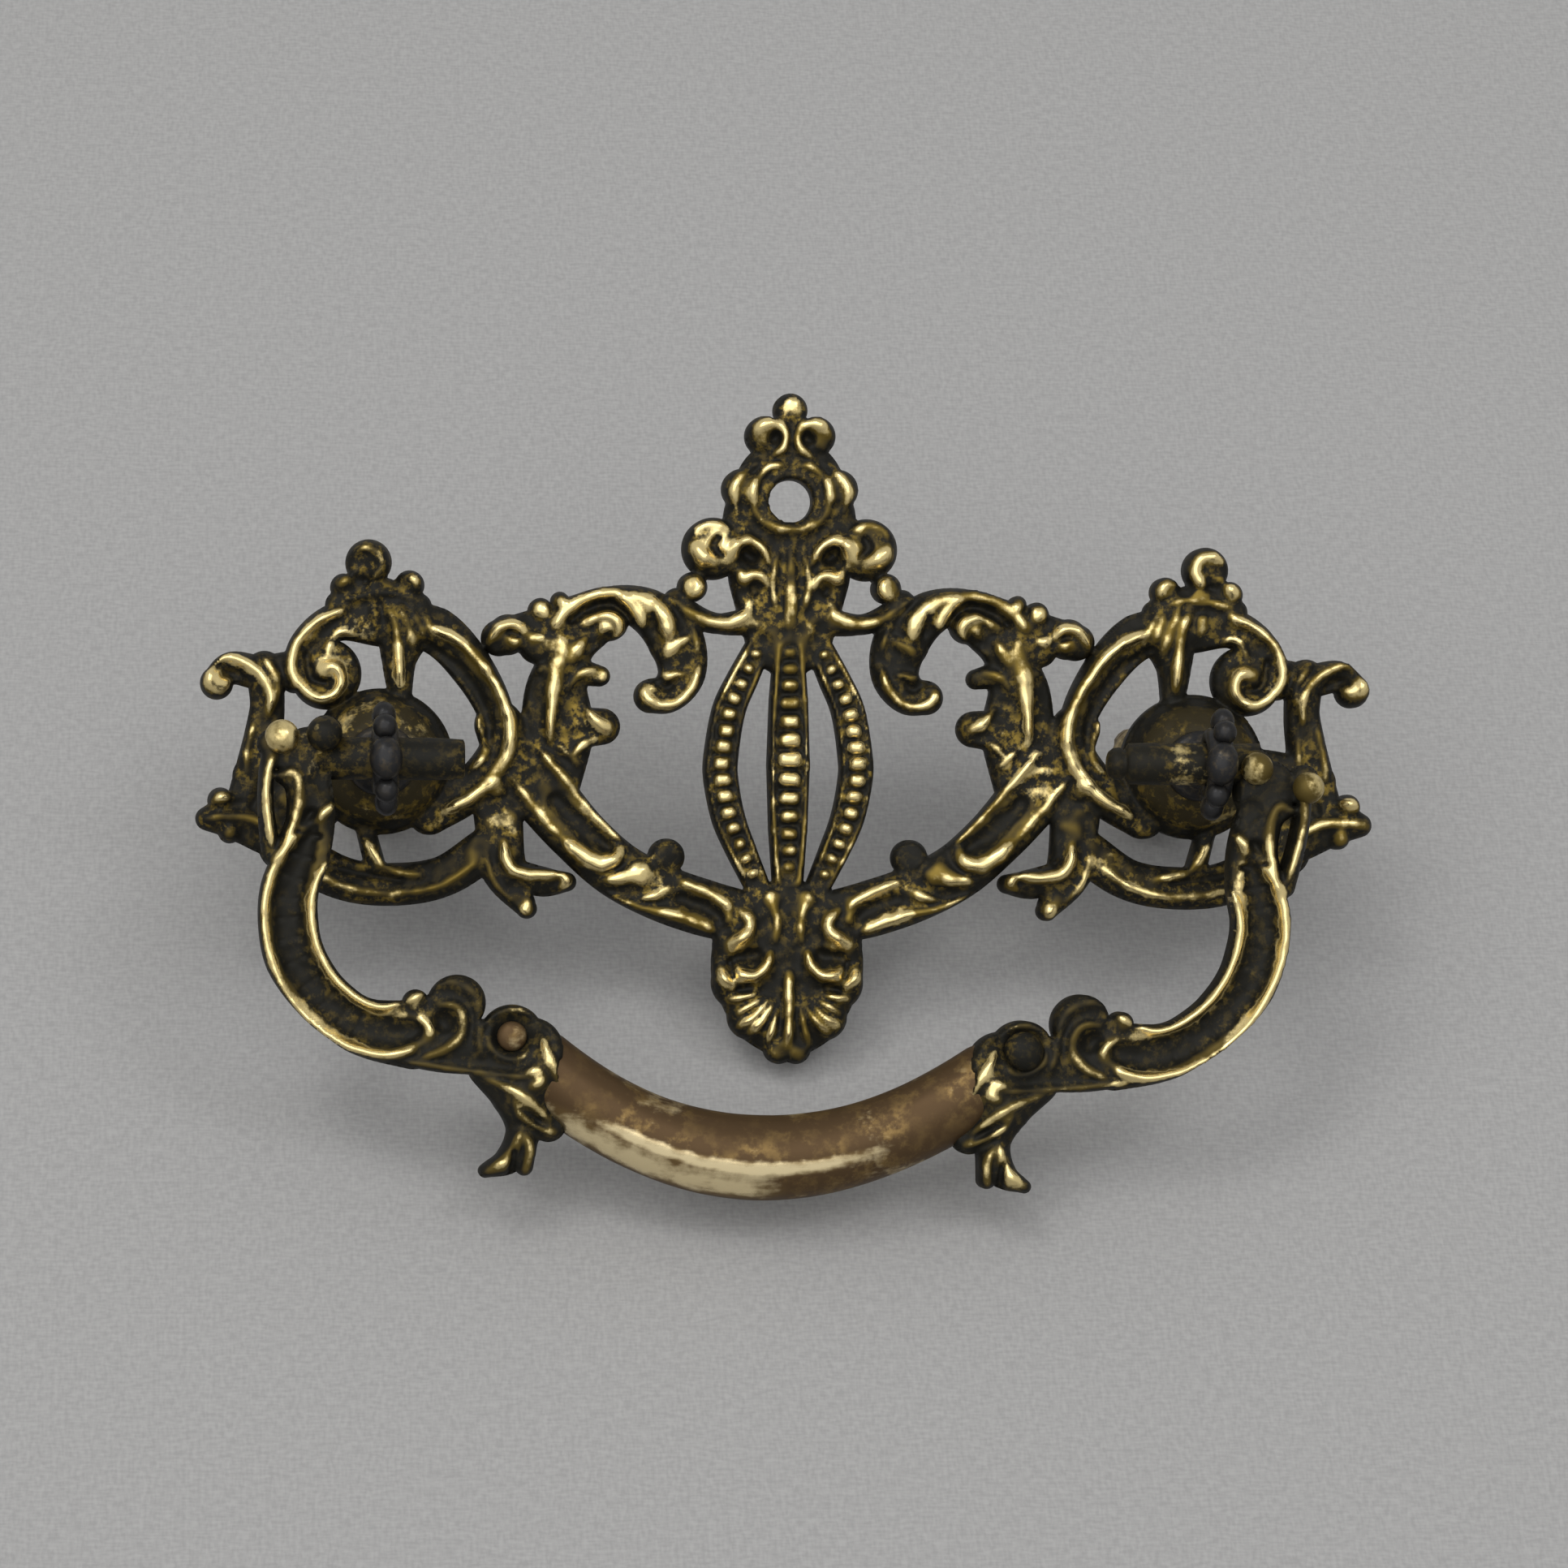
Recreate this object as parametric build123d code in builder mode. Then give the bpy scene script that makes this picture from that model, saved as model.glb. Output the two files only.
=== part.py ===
from build123d import *
import os
from math import hypot

# Cast brass bail pull: a pierced scroll backplate, two eye posts that bolt through it,
# a swinging bail whose in-turned pins run in the eyes, and a washer and nut on each post.
# The back of the plate lies in the XZ plane, its front looks towards -Y, and +Z is up.
# The origin is on the back of the plate, midway between the posts.

# Backplate
post_spacing = 76.2
plate_thickness = 2.4
relief_height = 1.1
relief_taper = 0.5
strap_width = 4.0
side_strap_width = 3.2
rim_width = 0.6
rim_inset = 0.15
bead_pitch = 1.85
bead_closing = 0.015
bead_width = 2.1
bead_length = 1.37
bead_easing = 0.06
side_bead_width = 1.3
side_bead_easing = 0.3
side_bead_count = 14
bead_height = 0.8
crown_hole_radius = 2.0
crown_hole_z = 24.6
crown_collar_width = 0.9
crown_collar_rise = 0.77
knob_rise = 1.5
boss_radius = 6.8
boss_rise = 3.2
boss_seat_radius = 3.6
dome_margin = 0.3

# Posts
journal_radius = 2.4
journal_clearance = 0.06
shank_radius = 2.1
shank_length = 28.0
thread_length = 11.0
thread_depth = 0.15
collar_margin = 0.3
collar_height = 1.2
neck_radius = 1.8
neck_slope = 0.8
neck_root = 0.7
pivot_reach = 16.0
eye_radius = 3.4
eye_thickness = 2.4
eye_bead_radius = 1.25

# Bail
pin_radius = 1.95
pin_clearance = 0.06
pin_reach = 8.4
bail_thickness = 3.8
bail_rim_height = 0.6
bail_rim_width = 1.0
pin_root = 5.0
bail_slide = -1.2
bail_lean = 0.08
bail_sag = 0.028
grip_hang = 36.1
grip_rise = 8.7
grip_inset = 16.3

# Bend of a scroll's edge, as a share of its length, under which that edge is drawn straight
straight_bulge = 0.02

# Drawer front that the posts are made for, and what clamps behind it
drawer_front = 19.0
washer_radius = 5.0
washer_thickness = 0.8
washer_clearance = 0.25
nut_flats = 8.0
nut_height = 3.2
nut_chamfer = 0.6
thread_clearance = 0.05

boss_x = post_spacing / 2
boss_top = plate_thickness + boss_rise
grip_half_length = boss_x - grip_inset
thread_radius = shank_radius - thread_depth
collar_radius = boss_seat_radius - collar_margin
dome_radius = boss_radius - dome_margin
# The dome is part of a ball centred on the post's axis
dome_centre = (dome_radius**2 - boss_seat_radius**2 - boss_rise**2) / (2 * boss_rise)
dome_curve = hypot(dome_radius, dome_centre)


def wing(*points):
    """Points of the ornament round a post, given from the post's own axis."""
    return [(boss_x + x, z) for x, z in points]


def normals(points):
    """Unit normal at each point of a centre line."""
    found = []
    for i in range(len(points)):
        before = points[max(i - 1, 0)]
        after = points[min(i + 1, len(points) - 1)]
        dx, dz = after[0] - before[0], after[1] - before[1]
        length = hypot(dx, dz)
        found.append((-dz / length, dx / length))
    return found


def beside(points, shift):
    """The same line moved sideways, as a rim along the edge of a strap."""
    return [(p[0] + n[0] * shift, p[1] + n[1] * shift) for p, n in zip(points, normals(points))]


def edge_of(points, widths, side, rim):
    """Line of a rim that follows one edge of a scroll of changing width."""
    shifts = [side * (w - rim) / 2 for w in widths]
    return [(p[0] + n[0] * s, p[1] + n[1] * s) for p, n, s in zip(points, normals(points), shifts)]


def flowing(points):
    """A curve through the points, with an arc or, where it hardly bends, a line between two points."""
    ways = [(n[1], -n[0]) for n in normals(points)]
    for p, q, p_way, q_way in zip(points, points[1:], ways, ways[1:]):
        gap = hypot(q[0] - p[0], q[1] - p[1])
        bulge = ((p_way[0] - q_way[0]) * gap / 8, (p_way[1] - q_way[1]) * gap / 8)
        if hypot(*bulge) < gap * straight_bulge:
            Line(p, q)
        else:
            ThreePointArc(p, ((p[0] + q[0]) / 2 + bulge[0], (p[1] + q[1]) / 2 + bulge[1]), q)


def stroke(points, widths):
    """A tapered scroll with round ends, as a face of the sketch that is being made."""
    sides = list(zip(points, normals(points), widths))
    left = [(p[0] + n[0] * w / 2, p[1] + n[1] * w / 2) for p, n, w in sides]
    right = [(p[0] - n[0] * w / 2, p[1] - n[1] * w / 2) for p, n, w in sides]
    first, across, width = sides[0]
    start_tip = (first[0] - across[1] * width / 2, first[1] + across[0] * width / 2)
    last, across, width = sides[-1]
    end_tip = (last[0] + across[1] * width / 2, last[1] - across[0] * width / 2)
    with BuildLine() as outline:
        flowing(left)
        ThreePointArc(left[-1], end_tip, right[-1])
        flowing(right[::-1])
        ThreePointArc(right[0], start_tip, left[0])
    make_face(outline.edges())


def ridge(points, widths):
    """A tapered ridge in flats with pointed ends, as a face of the sketch that is being made."""
    sides = list(zip(points, normals(points), widths))
    left = [(p[0] + n[0] * w / 2, p[1] + n[1] * w / 2) for p, n, w in sides]
    right = [(p[0] - n[0] * w / 2, p[1] - n[1] * w / 2) for p, n, w in sides]
    tips = []
    for (end, across, width), way in ((sides[0], -1), (sides[-1], 1)):
        tips.append((end[0] + way * across[1] * width / 2, end[1] - way * across[0] * width / 2))
    with BuildLine() as outline:
        Polyline(tips[0], *left, tips[1], *reversed(right), close=True)
    make_face(outline.edges())


def disc(centre, radius):
    """A round lobe of the ornament."""
    with Locations(centre):
        Circle(radius)


# Backplate, cast in one piece
side_strap = [(2.6, 11.5), (4.3, 8), (5.6, 5), (6.3, 0.8), (6.3, -1.5), (5.6, -5), (4.4, -8), (2.8, -11.5)]
lower_strap = wing((-11, 3.5), (-13, 0), (-15.6, -3.4), (-18.6, -6.8))
lower_strap += [(16, -9.9), (12, -12), (8, -13.4), (4, -14.4)]
acanthus = [(20.5, 14.2), (16.8, 15.1), (13.2, 14.2), (10.6, 11.5), (10.0, 8.6), (11.2, 6.6), (12.9, 6.3)]
ring_foot = wing((-10, -8), (-6, -10.6), (-1.6, -11.4), (3, -11), (7, -9), (10, -6))
ring = wing((-1.1, 13), (-5.1, 12.2), (-8.3, 9), (-10.7, 4.6), (-10.6, 1), (-8.2, -2.6), (-4.6, -4.8))
volute = wing((1, 13.6), (4.8, 12.9), (7.3, 10.4), (7.4, 7.2), (5, 5.6), (3.2, 7.2))
palmette_edge = [(0, -13), (5, -15), (7, -17.3), (7, -19.6), (6.4, -22.2), (5, -24.6), (2.6, -26.7)]
palmette_edge += [(0, -28.3)]

with BuildPart() as backplate:
    with BuildSketch(Plane.XZ):
        stroke([(0, -13), (0, 0), (0, 12.5)], [strap_width] * 3)
        stroke(side_strap, [side_strap_width] * 8)
        disc((1.5, -12.8), 1.3)
        # Crown
        disc((0, 33.1), 1.6)
        disc((2.4, 30.7), 1.85)
        stroke([(0, 32), (0, 28), (0, 25)], [3, 7, 11])
        disc((4.5, 25.7), 1.9)
        stroke([(0.5, 27), (3.9, 24.7), (4.6, 21.7)], [3, 3.4, 3.6])
        disc((7.2, 20.1), 2.9)
        stroke([(0, 24), (0, 18), (0, 12.5)], [9, 11.4, 8.4])
        stroke([(2, 13.6), (6.5, 13.1), (9.2, 14), (10.6, 15.2)], [3, 1.9, 2.2, 2.4])
        disc((9.1, 16.5), 1.4)
        # Acanthus scroll
        stroke(acanthus, [2.6, 2.8, 4.2, 5.2, 4.4, 3.6, 3.2])
        disc((16.8, 13.1), 1.7)
        disc((19.3, 13.2), 1.4)
        # Lower strap with its cuff
        stroke(lower_strap, [4.5, 6, 5.8, 5.4, 5.3, 5.3, 5.3, 5])
        disc((11.4, -8.7), 1.8)
        # Palmette
        with BuildLine() as palmette:
            flowing(palmette_edge)
            Line(palmette_edge[-1], palmette_edge[0])
        make_face(palmette.edges())
        # Ring, boss and volute
        stroke(ring, [3.6, 4.4, 4, 3.3, 3, 4, 4])
        disc(*wing((-10.8, -2.4)), 1.2)
        stroke(ring_foot, [4, 3.8, 4, 4, 4.2, 4.4])
        disc(*wing((0, 0)), boss_radius)
        stroke(wing((-2.4, 13), (-1.7, 9.5), (-1.9, 5)), [5.5, 3.2, 1.8])
        stroke(wing((0, 12.7), (4, 13), (7, 10.8), (8, 7.6)), [4, 3.6, 3, 2.6])
        disc(*wing((5.1, 8.1)), 3.3)
        stroke(wing((1.4, -6), (0.2, -10.5)), [1.8, 2])
        stroke(wing((4, -1), (8, -1), (11.5, -1.5)), [6, 5, 4.4])
        stroke(wing((5, -4), (7.4, -6.5), (9, -8)), [3.5, 4.4, 4.4])
        disc(*wing((8.6, -3.6)), 1.6)
        # Finial above the ring
        disc(*wing((1.2, 18.5)), 2.15)
        disc(*wing((3.5, 16.2)), 1.25)
        disc(*wing((-2.6, 16.4)), 1.4)
        stroke(wing((4, 14.6), (0.6, 15.8), (-3.4, 14.4)), [2.4, 3, 2.6])
        # Outer curl, strap and leaf
        stroke(wing((7.4, 8.7), (11, 8.2), (13.8, 8.6), (15.3, 7.4)), [3.4, 3.2, 3, 2.6])
        disc(*wing((15.2, 7.2)), 1.55)
        stroke(wing((10.8, 8.5), (10.5, 5.2), (10.9, 2), (11.4, -1.5), (11.9, -4.5)), [3.4, 3.2, 3.6, 4.4, 5])
        stroke(wing((10.2, -6.3), (13.4, -5.2), (16, -5.4)), [5, 4.4, 2.2])
        disc(*wing((14.8, -3.7)), 1.2)
        disc(*wing((13.9, -6.6)), 1.1)
        # Leaf between ring and acanthus
        stroke(wing((-15.6, -2), (-16.4, 3), (-16.4, 7), (-17.8, 10.6), (-20.6, 12.6)), [6, 7, 5.6, 4, 2.6])
        stroke(wing((-17, 8.8), (-20.4, 8.1)), [3, 1.9])
        stroke(wing((-17, 3.2), (-20.6, 3.4)), [4.2, 3.4])
        stroke(wing((-11, 11.6), (-14, 12.4), (-17.4, 13.4)), [3.4, 3.6, 3])
        disc(*wing((-11.8, 11.9)), 1.9)
        disc(*wing((-14.6, 11)), 1.8)
        disc(*wing((-14.8, 14.2)), 1.15)
        disc(*wing((-16.6, 15.1)), 0.85)
        # Hooked leaf below the ring
        stroke(wing((-11, -5), (-11.6, -10), (-13.7, -13.6)), [4.5, 4.2, 1.9])
        stroke(wing((-12, -10.3), (-15.2, -11.1), (-17.4, -11.1)), [3, 2.8, 1.8])
        mirror(about=Plane.YZ)
    extrude(amount=plate_thickness)
    # Domed bosses that the posts pass through, with a flat seat on top
    for side in (1, -1):
        with BuildSketch(Plane.XY):
            with BuildLine():
                root = (side * boss_x, -plate_thickness / 2)
                foot = (side * (boss_x + dome_radius), -plate_thickness / 2)
                shoulder = (side * (boss_x + dome_radius), -plate_thickness)
                seat = (side * (boss_x + boss_seat_radius), -boss_top)
                Polyline(root, foot, shoulder)
                RadiusArc(shoulder, seat, side * dome_curve)
                Polyline(seat, (side * boss_x, -boss_top), root)
            make_face()
        revolve(axis=Axis((side * boss_x, 0, 0), (0, 1, 0)))
    # Raised crests and rims along the scrolls
    crests = [
        (beside(side_strap, side_strap_width / 2 - rim_width / 2 - rim_inset), [rim_width] * 8),
        (beside(side_strap, rim_width / 2 + rim_inset - side_strap_width / 2)[1:-1], [rim_width] * 6),
        ([(strap_width / 2 - rim_width / 2 - rim_inset, z) for z in (-8.5, 0, 8.5)], [rim_width] * 3),
        ([(0.6, 29), (1.5, 31.4), (3, 31)], [0.9, 1, 1.3]),
        ([(3.6, 27.6), (3.4, 24.6), (2.4, 22.4), (0.6, 21.2)], [1, 1.2, 1.2, 1]),
        ([(5.4, 19.2), (6.2, 21.4), (8.2, 21.4), (8.8, 19.6), (7.6, 18.6)], [1, 1.2, 1.3, 1.3, 1.4]),
        ([(5.8, 19.2), (4.6, 20.4), (2.8, 20), (1.8, 17.8)], [1, 1.1, 1.1, 0.8]),
        ([(20.8, 14.3), (17, 15.6), (13.4, 14.8), (11.2, 12.2)], [0.9, 1.4, 2, 1.2]),
        ([(9, 10.2), (9.4, 7.4), (11.4, 5.8), (13.2, 6.2)], [1, 1.3, 1.4, 1.6]),
        (beside(lower_strap, 2)[1:7], [0.9, 1, 1, 1, 1, 0.9]),
        (beside(lower_strap, -2)[1:7], [0.9, 1, 1.2, 1.2, 1, 0.9]),
        ([(14.8, -9.6), (12.6, -10.2), (10.8, -9.2)], [2.4, 3, 1.6]),
        (beside(ring, 1.2)[1:], [1, 1.1, 1.1, 1.1, 1.1, 0.9]),
        (wing((-2.2, 13.4), (-2.4, 10.6), (-1.9, 7)), [3, 2.2, 0.9]),
        (volute, [1.3, 1.2, 1.1, 1, 1, 0.9]),
        (wing((-8.6, -9), (-4, -11), (1, -11.6), (6, -9.8)), [1, 1.2, 1.2, 1]),
        (wing((10.4, 8.9), (13.2, 9.3), (15.3, 8.1)), [0.9, 1.1, 1.3]),
        (wing((9.9, 7.4), (9.6, 4.4), (9.9, 1.2)), [0.9, 0.9, 0.8]),
        (wing((10, -6), (13, -4.8), (15.4, -5.2)), [1.4, 1.4, 1.1]),
        (wing((-16.4, -1), (-16.2, 4), (-16, 7.6), (-17.4, 10.2)), [0.9, 1.4, 1.9, 1.5]),
        (wing((-11.4, -7), (-11.9, -9.4), (-14, -10.2), (-17.2, -10.4)), [0.9, 1.3, 1.4, 1.2]),
        ([(3.4, -13.6), (3.8, -15.2), (5.4, -16)], [1, 1.3, 1.1]),
        ([(1.8, -17.4), (2.3, -19.2), (4, -19.8), (5.2, -18.8)], [0.8, 1.1, 1.2, 1.3]),
        ([(1.4, -21), (2.4, -23), (3.4, -24.8)], [0.8, 1, 0.6]),
    ]
    knobs = [((0, 33.1), 1.45), ((7.9, 19.6), 1.5), (*wing((15.2, 7.2)), 1.4), (*wing((1.2, 18.4)), 1.9)]
    relief_foot = Plane.XZ.offset(plate_thickness / 2)
    relief_top = Plane.XZ.offset(plate_thickness + relief_height)
    relief = []
    for side in (1, -1):
        for points, widths in crests:
            line = [(side * x, z) for x, z in points]
            with BuildSketch(relief_foot, mode=Mode.PRIVATE) as crest_foot:
                ridge(line, widths)
            with BuildSketch(relief_top, mode=Mode.PRIVATE) as crest_top:
                ridge(line, [w * relief_taper for w in widths])
            relief.append(loft([crest_foot.sketch.face(), crest_top.sketch.face()], mode=Mode.PRIVATE))
    # Rows of square beads on the three straps
    beads = []
    for i in range(-6, 7):
        ease = 1 - bead_easing * abs(i)
        at = (0, i * bead_pitch * (1 - bead_closing * abs(i)))
        beads.append((at, 0, bead_width * ease, bead_length * ease))
    with BuildLine(mode=Mode.PRIVATE) as bead_row:
        Spline(*side_strap)
    for side in (1, -1):
        for i in range(side_bead_count):
            along = (i + 0.8) / (side_bead_count + 0.6)
            spot = bead_row.edge().position_at(along)
            lean = bead_row.edge().tangent_angle_at(along)
            size = side_bead_width * (1 - side_bead_easing * abs(2 * along - 1))
            beads.append(((side * spot.X, spot.Y), side * lean, size, size))
    for spot, lean, width, length in beads:
        for_bead = Location(spot, lean)
        with BuildSketch(relief_foot, mode=Mode.PRIVATE) as bead_foot:
            with Locations(for_bead):
                Rectangle(width, length)
        with BuildSketch(Plane.XZ.offset(plate_thickness + bead_height), mode=Mode.PRIVATE) as bead_top:
            with Locations(for_bead):
                Rectangle(width * relief_taper, length * relief_taper)
        relief.append(loft([bead_foot.sketch.face(), bead_top.sketch.face()], mode=Mode.PRIVATE))
    add(relief)
    # Round knobs of the crown, finials and curls
    with BuildSketch(Plane.XZ.offset(plate_thickness)):
        for centre, radius in knobs:
            disc(centre, radius)
        mirror(about=Plane.YZ)
    extrude(amount=knob_rise)
    # Raised collar round the crown hole
    with BuildSketch(Plane.XZ.offset(plate_thickness / 2)):
        with Locations((0, crown_hole_z)):
            Circle(crown_hole_radius + crown_collar_width)
    extrude(amount=plate_thickness / 2 + crown_collar_rise)
    with BuildSketch(Plane.XZ):
        with Locations((0, crown_hole_z)):
            Circle(crown_hole_radius)
    extrude(amount=plate_thickness + relief_height, mode=Mode.SUBTRACT)
    # Bores for the posts
    with BuildSketch(Plane.XZ):
        with Locations((boss_x, 0), (-boss_x, 0)):
            Circle(journal_radius + journal_clearance)
    extrude(amount=boss_top, mode=Mode.SUBTRACT)

# Eye posts: threaded shank, journal in the boss, collar on its seat, neck and flat beaded eye
eye_front = pivot_reach + eye_radius
neck_top = pivot_reach - eye_radius + neck_root
posts = {}
for name, side in (("left_post", -1), ("right_post", 1)):
    with BuildPart() as post:
        with BuildSketch(Plane.XY):
            with BuildLine():
                Polyline(
                    (side * boss_x, shank_length),
                    (side * boss_x + thread_radius, shank_length),
                    (side * boss_x + thread_radius, shank_length - thread_length),
                    (side * boss_x + shank_radius, shank_length - thread_length),
                    (side * boss_x + shank_radius, 0),
                    (side * boss_x + journal_radius, 0),
                    (side * boss_x + journal_radius, -boss_top),
                    (side * boss_x + collar_radius, -boss_top),
                    (side * boss_x + collar_radius, -boss_top - collar_height),
                    (side * boss_x + neck_radius, -boss_top - collar_height - neck_slope),
                    (side * boss_x + neck_radius, -neck_top),
                    (side * boss_x, -neck_top),
                    close=True,
                )
            make_face()
        revolve(axis=Axis((side * boss_x, 0, 0), (0, 1, 0)))
        with BuildSketch(Plane.YZ.offset(side * boss_x - eye_thickness / 2)):
            with Locations((-pivot_reach, 0)):
                Circle(eye_radius)
            with Locations((-pivot_reach, eye_radius), (-eye_front, 0), (-pivot_reach, -eye_radius)):
                Circle(eye_bead_radius)
        extrude(amount=eye_thickness)
        with BuildSketch(Plane.YZ.offset(side * boss_x - eye_thickness)):
            with Locations((-pivot_reach, 0)):
                Circle(pin_radius + pin_clearance)
        extrude(amount=2 * eye_thickness, mode=Mode.SUBTRACT)
    post.part.label = name
    posts[name] = post.part

# Bail, cast in one piece with its pins: drawn true, then skewed as it has bent in use


def bent(side, points):
    """Points of one arm of the bail, mirrored by side, with its slide, lean and sag."""
    return [(bail_slide + side * x + bail_lean * z, z - bail_sag * side * x) for x, z in points]


channel = wing(
    (5.4, -3), (4.9, -6.4), (5.4, -9.8), (6.3, -13), (6.2, -16),
    (5.3, -19.2), (3, -22.3), (0.2, -24.5), (-2.2, -25.5), (-6.1, -25.9),
)
channel_widths = [3.8, 4.2, 5, 5.3, 5.4, 5.4, 5, 4.9, 5.3, 6.2]
claw = wing((-13.3, -28.4), (-15.7, -31), (-16.7, -34), (-15.7, -36.8), (-13.5, -38))
arm_scrolls = [
    (channel, channel_widths),
    # Limb that carries the end scroll and the volute
    (wing((-4.1, -26.6), (-8.6, -27), (-13.1, -26.8), (-16.6, -27)), [3.6, 4.4, 5.2, 6]),
    # Claw under the volute, its heel and its inner toe
    (claw, [4.4, 4.4, 3.2, 2.6, 1.2]),
    (wing((-17.1, -30), (-18.9, -33.6)), [5, 3.2]),
    (wing((-16.9, -34.5), (-17, -37.5)), [2.4, 1.6]),
    # Thorn and outer curl of the head
    (wing((7.2, -10), (6.6, -6.8), (6.9, -4), (8.2, -2.9)), [1.8, 1.3, 1.2, 1]),
    (wing((8.2, -10), (9, -6.4), (9.3, -3.2), (9.1, -1)), [1.8, 1.5, 1.4, 1.6]),
]
# End scroll and its spur, volute, head, and the balls on the head and its curl
arm_lobes = [
    ((-9.6, -23), 2.65), ((-5.9, -23), 1.2), ((-14.8, -25.8), 2.9),
    ((5.7, -1.2), 2.8), ((4.4, 1.1), 1.7), ((9.1, 0), 1.4),
]
volute_eye = (-14.8, -25.7)
volute_eye_radius = 1.4
# Stations of half the grip: share of the way from its middle to its end, and radius
grip_stations = [(0, 3.9), (0.229, 3.8), (0.463, 3.6), (0.67, 3.35), (0.844, 3.1), (1, 1.8)]
bail_front = Plane.XZ.offset(pivot_reach + bail_thickness / 2)
with BuildPart() as bail:
    with BuildSketch(Plane.XZ.offset(pivot_reach - bail_thickness / 2)):
        for side in (1, -1):
            for points, widths in arm_scrolls:
                stroke(bent(side, points), widths)
            for centre, radius in arm_lobes:
                disc(*bent(side, wing(centre)), radius)
    extrude(amount=bail_thickness)
    # Smooth round grip, curved as a parabola, that swells to the middle
    half_grip = []
    for share, radius in grip_stations:
        half_grip.append((share * grip_half_length, share**2 * grip_rise - grip_hang, radius))
    stations = []
    for side, half in ((1, half_grip[:0:-1]), (-1, half_grip)):
        stations += [(*bent(side, [(x, z)])[0], radius) for x, z, radius in half]
    sections = []
    for (x, z, radius), across in zip(stations, normals([(x, z) for x, z, r in stations])):
        along = Plane((x, -pivot_reach, z), x_dir=(0, 1, 0), z_dir=(across[1], 0, -across[0]))
        with BuildSketch(along, mode=Mode.PRIVATE) as section:
            Circle(radius)
        sections.append(section.sketch.face())
    loft(sections, ruled=True)
    # In-turned pins, and the round eye of each volute
    for side in (1, -1):
        with BuildSketch(Plane.YZ.offset(bail_slide + side * (boss_x - pin_reach))):
            with Locations((-pivot_reach, 0)):
                Circle(pin_radius)
        extrude(amount=side * (pin_reach + pin_root))
    with BuildSketch(bail_front):
        for side in (1, -1):
            disc(*bent(side, wing(volute_eye)), volute_eye_radius)
    extrude(amount=bail_rim_height)
    # Raised rims along the channel
    bail_relief = []
    for side in (1, -1):
        for edge in (1, -1):
            line = bent(side, edge_of(channel, channel_widths, edge, bail_rim_width)[2:])
            with BuildSketch(bail_front.offset(-bail_rim_height), mode=Mode.PRIVATE) as crest_foot:
                ridge(line, [bail_rim_width] * len(line))
            with BuildSketch(bail_front.offset(bail_rim_height), mode=Mode.PRIVATE) as crest_top:
                ridge(line, [bail_rim_width * relief_taper] * len(line))
            bail_relief.append(loft([crest_foot.sketch.face(), crest_top.sketch.face()], mode=Mode.PRIVATE))
    add(bail_relief)

# Washer and nut that clamp each post behind the drawer front
fasteners = {}
for word, side in (("left", -1), ("right", 1)):
    with BuildPart() as washer:
        with BuildSketch(Plane.XZ.offset(-drawer_front)):
            with Locations((side * boss_x, 0)):
                Circle(washer_radius)
                Circle(thread_radius + washer_clearance, mode=Mode.SUBTRACT)
        extrude(amount=-washer_thickness)
    washer.part.label = word + "_washer"
    fasteners[washer.part.label] = washer.part
    with BuildPart() as nut:
        with BuildSketch(Plane.XZ.offset(-drawer_front - washer_thickness)):
            with Locations((side * boss_x, 0)):
                Rectangle(nut_flats, nut_flats)
                Circle(thread_radius + thread_clearance, mode=Mode.SUBTRACT)
        extrude(amount=-nut_height)
        chamfer(nut.edges().filter_by(Axis.Y).group_by(SortBy.LENGTH)[-1], nut_chamfer)
    nut.part.label = word + "_nut"
    fasteners[nut.part.label] = nut.part

backplate.part.label = "backplate"
bail.part.label = "bail"
os.makedirs("parts", exist_ok=True)
pieces = {"backplate": backplate.part, "bail": bail.part, **posts, **fasteners}
for name, piece in pieces.items():
    export_step(piece, f"parts/{name}.step")
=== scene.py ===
from math import cos, pi, radians, sin

import bpy
import numpy as np
from mathutils import Matrix, Vector


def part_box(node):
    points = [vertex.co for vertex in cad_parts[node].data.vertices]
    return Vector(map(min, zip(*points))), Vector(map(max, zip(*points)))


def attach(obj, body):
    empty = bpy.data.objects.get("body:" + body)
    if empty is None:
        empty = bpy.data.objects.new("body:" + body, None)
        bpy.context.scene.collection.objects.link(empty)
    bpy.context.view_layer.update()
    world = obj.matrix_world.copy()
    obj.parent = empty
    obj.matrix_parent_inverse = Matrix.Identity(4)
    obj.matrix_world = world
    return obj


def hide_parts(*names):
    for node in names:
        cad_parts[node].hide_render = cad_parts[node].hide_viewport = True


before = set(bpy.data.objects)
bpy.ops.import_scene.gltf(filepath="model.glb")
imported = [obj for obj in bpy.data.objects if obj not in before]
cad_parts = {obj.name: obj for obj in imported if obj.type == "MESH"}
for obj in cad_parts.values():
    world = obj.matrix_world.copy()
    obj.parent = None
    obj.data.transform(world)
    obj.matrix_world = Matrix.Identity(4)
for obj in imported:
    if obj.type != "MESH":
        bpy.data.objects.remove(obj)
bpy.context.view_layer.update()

# Backplate. One pierced sand casting in brass, 2.4 mm thick, flat on the back, chased on the front,
# darkened all over and then rubbed bright on everything that stands proud.

MM = 0.001
post_x = (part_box("right_post")[0].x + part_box("right_post")[1].x) / 2 / MM
boss_front = -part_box("backplate")[0].y / MM
plate_step = 0.22
plate_wall = 1.45
plate_level = 1.7
plate_crown = 0.75


def wing(points):
    """Points of x, z and width, given from a post's own axis, as points from the middle of the back."""
    return [(post_x + x, z, width) for x, z, width in points]


def even(line, width):
    """A line that is equally wide all along."""
    return np.column_stack([line, np.full(len(line), width)])


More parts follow.
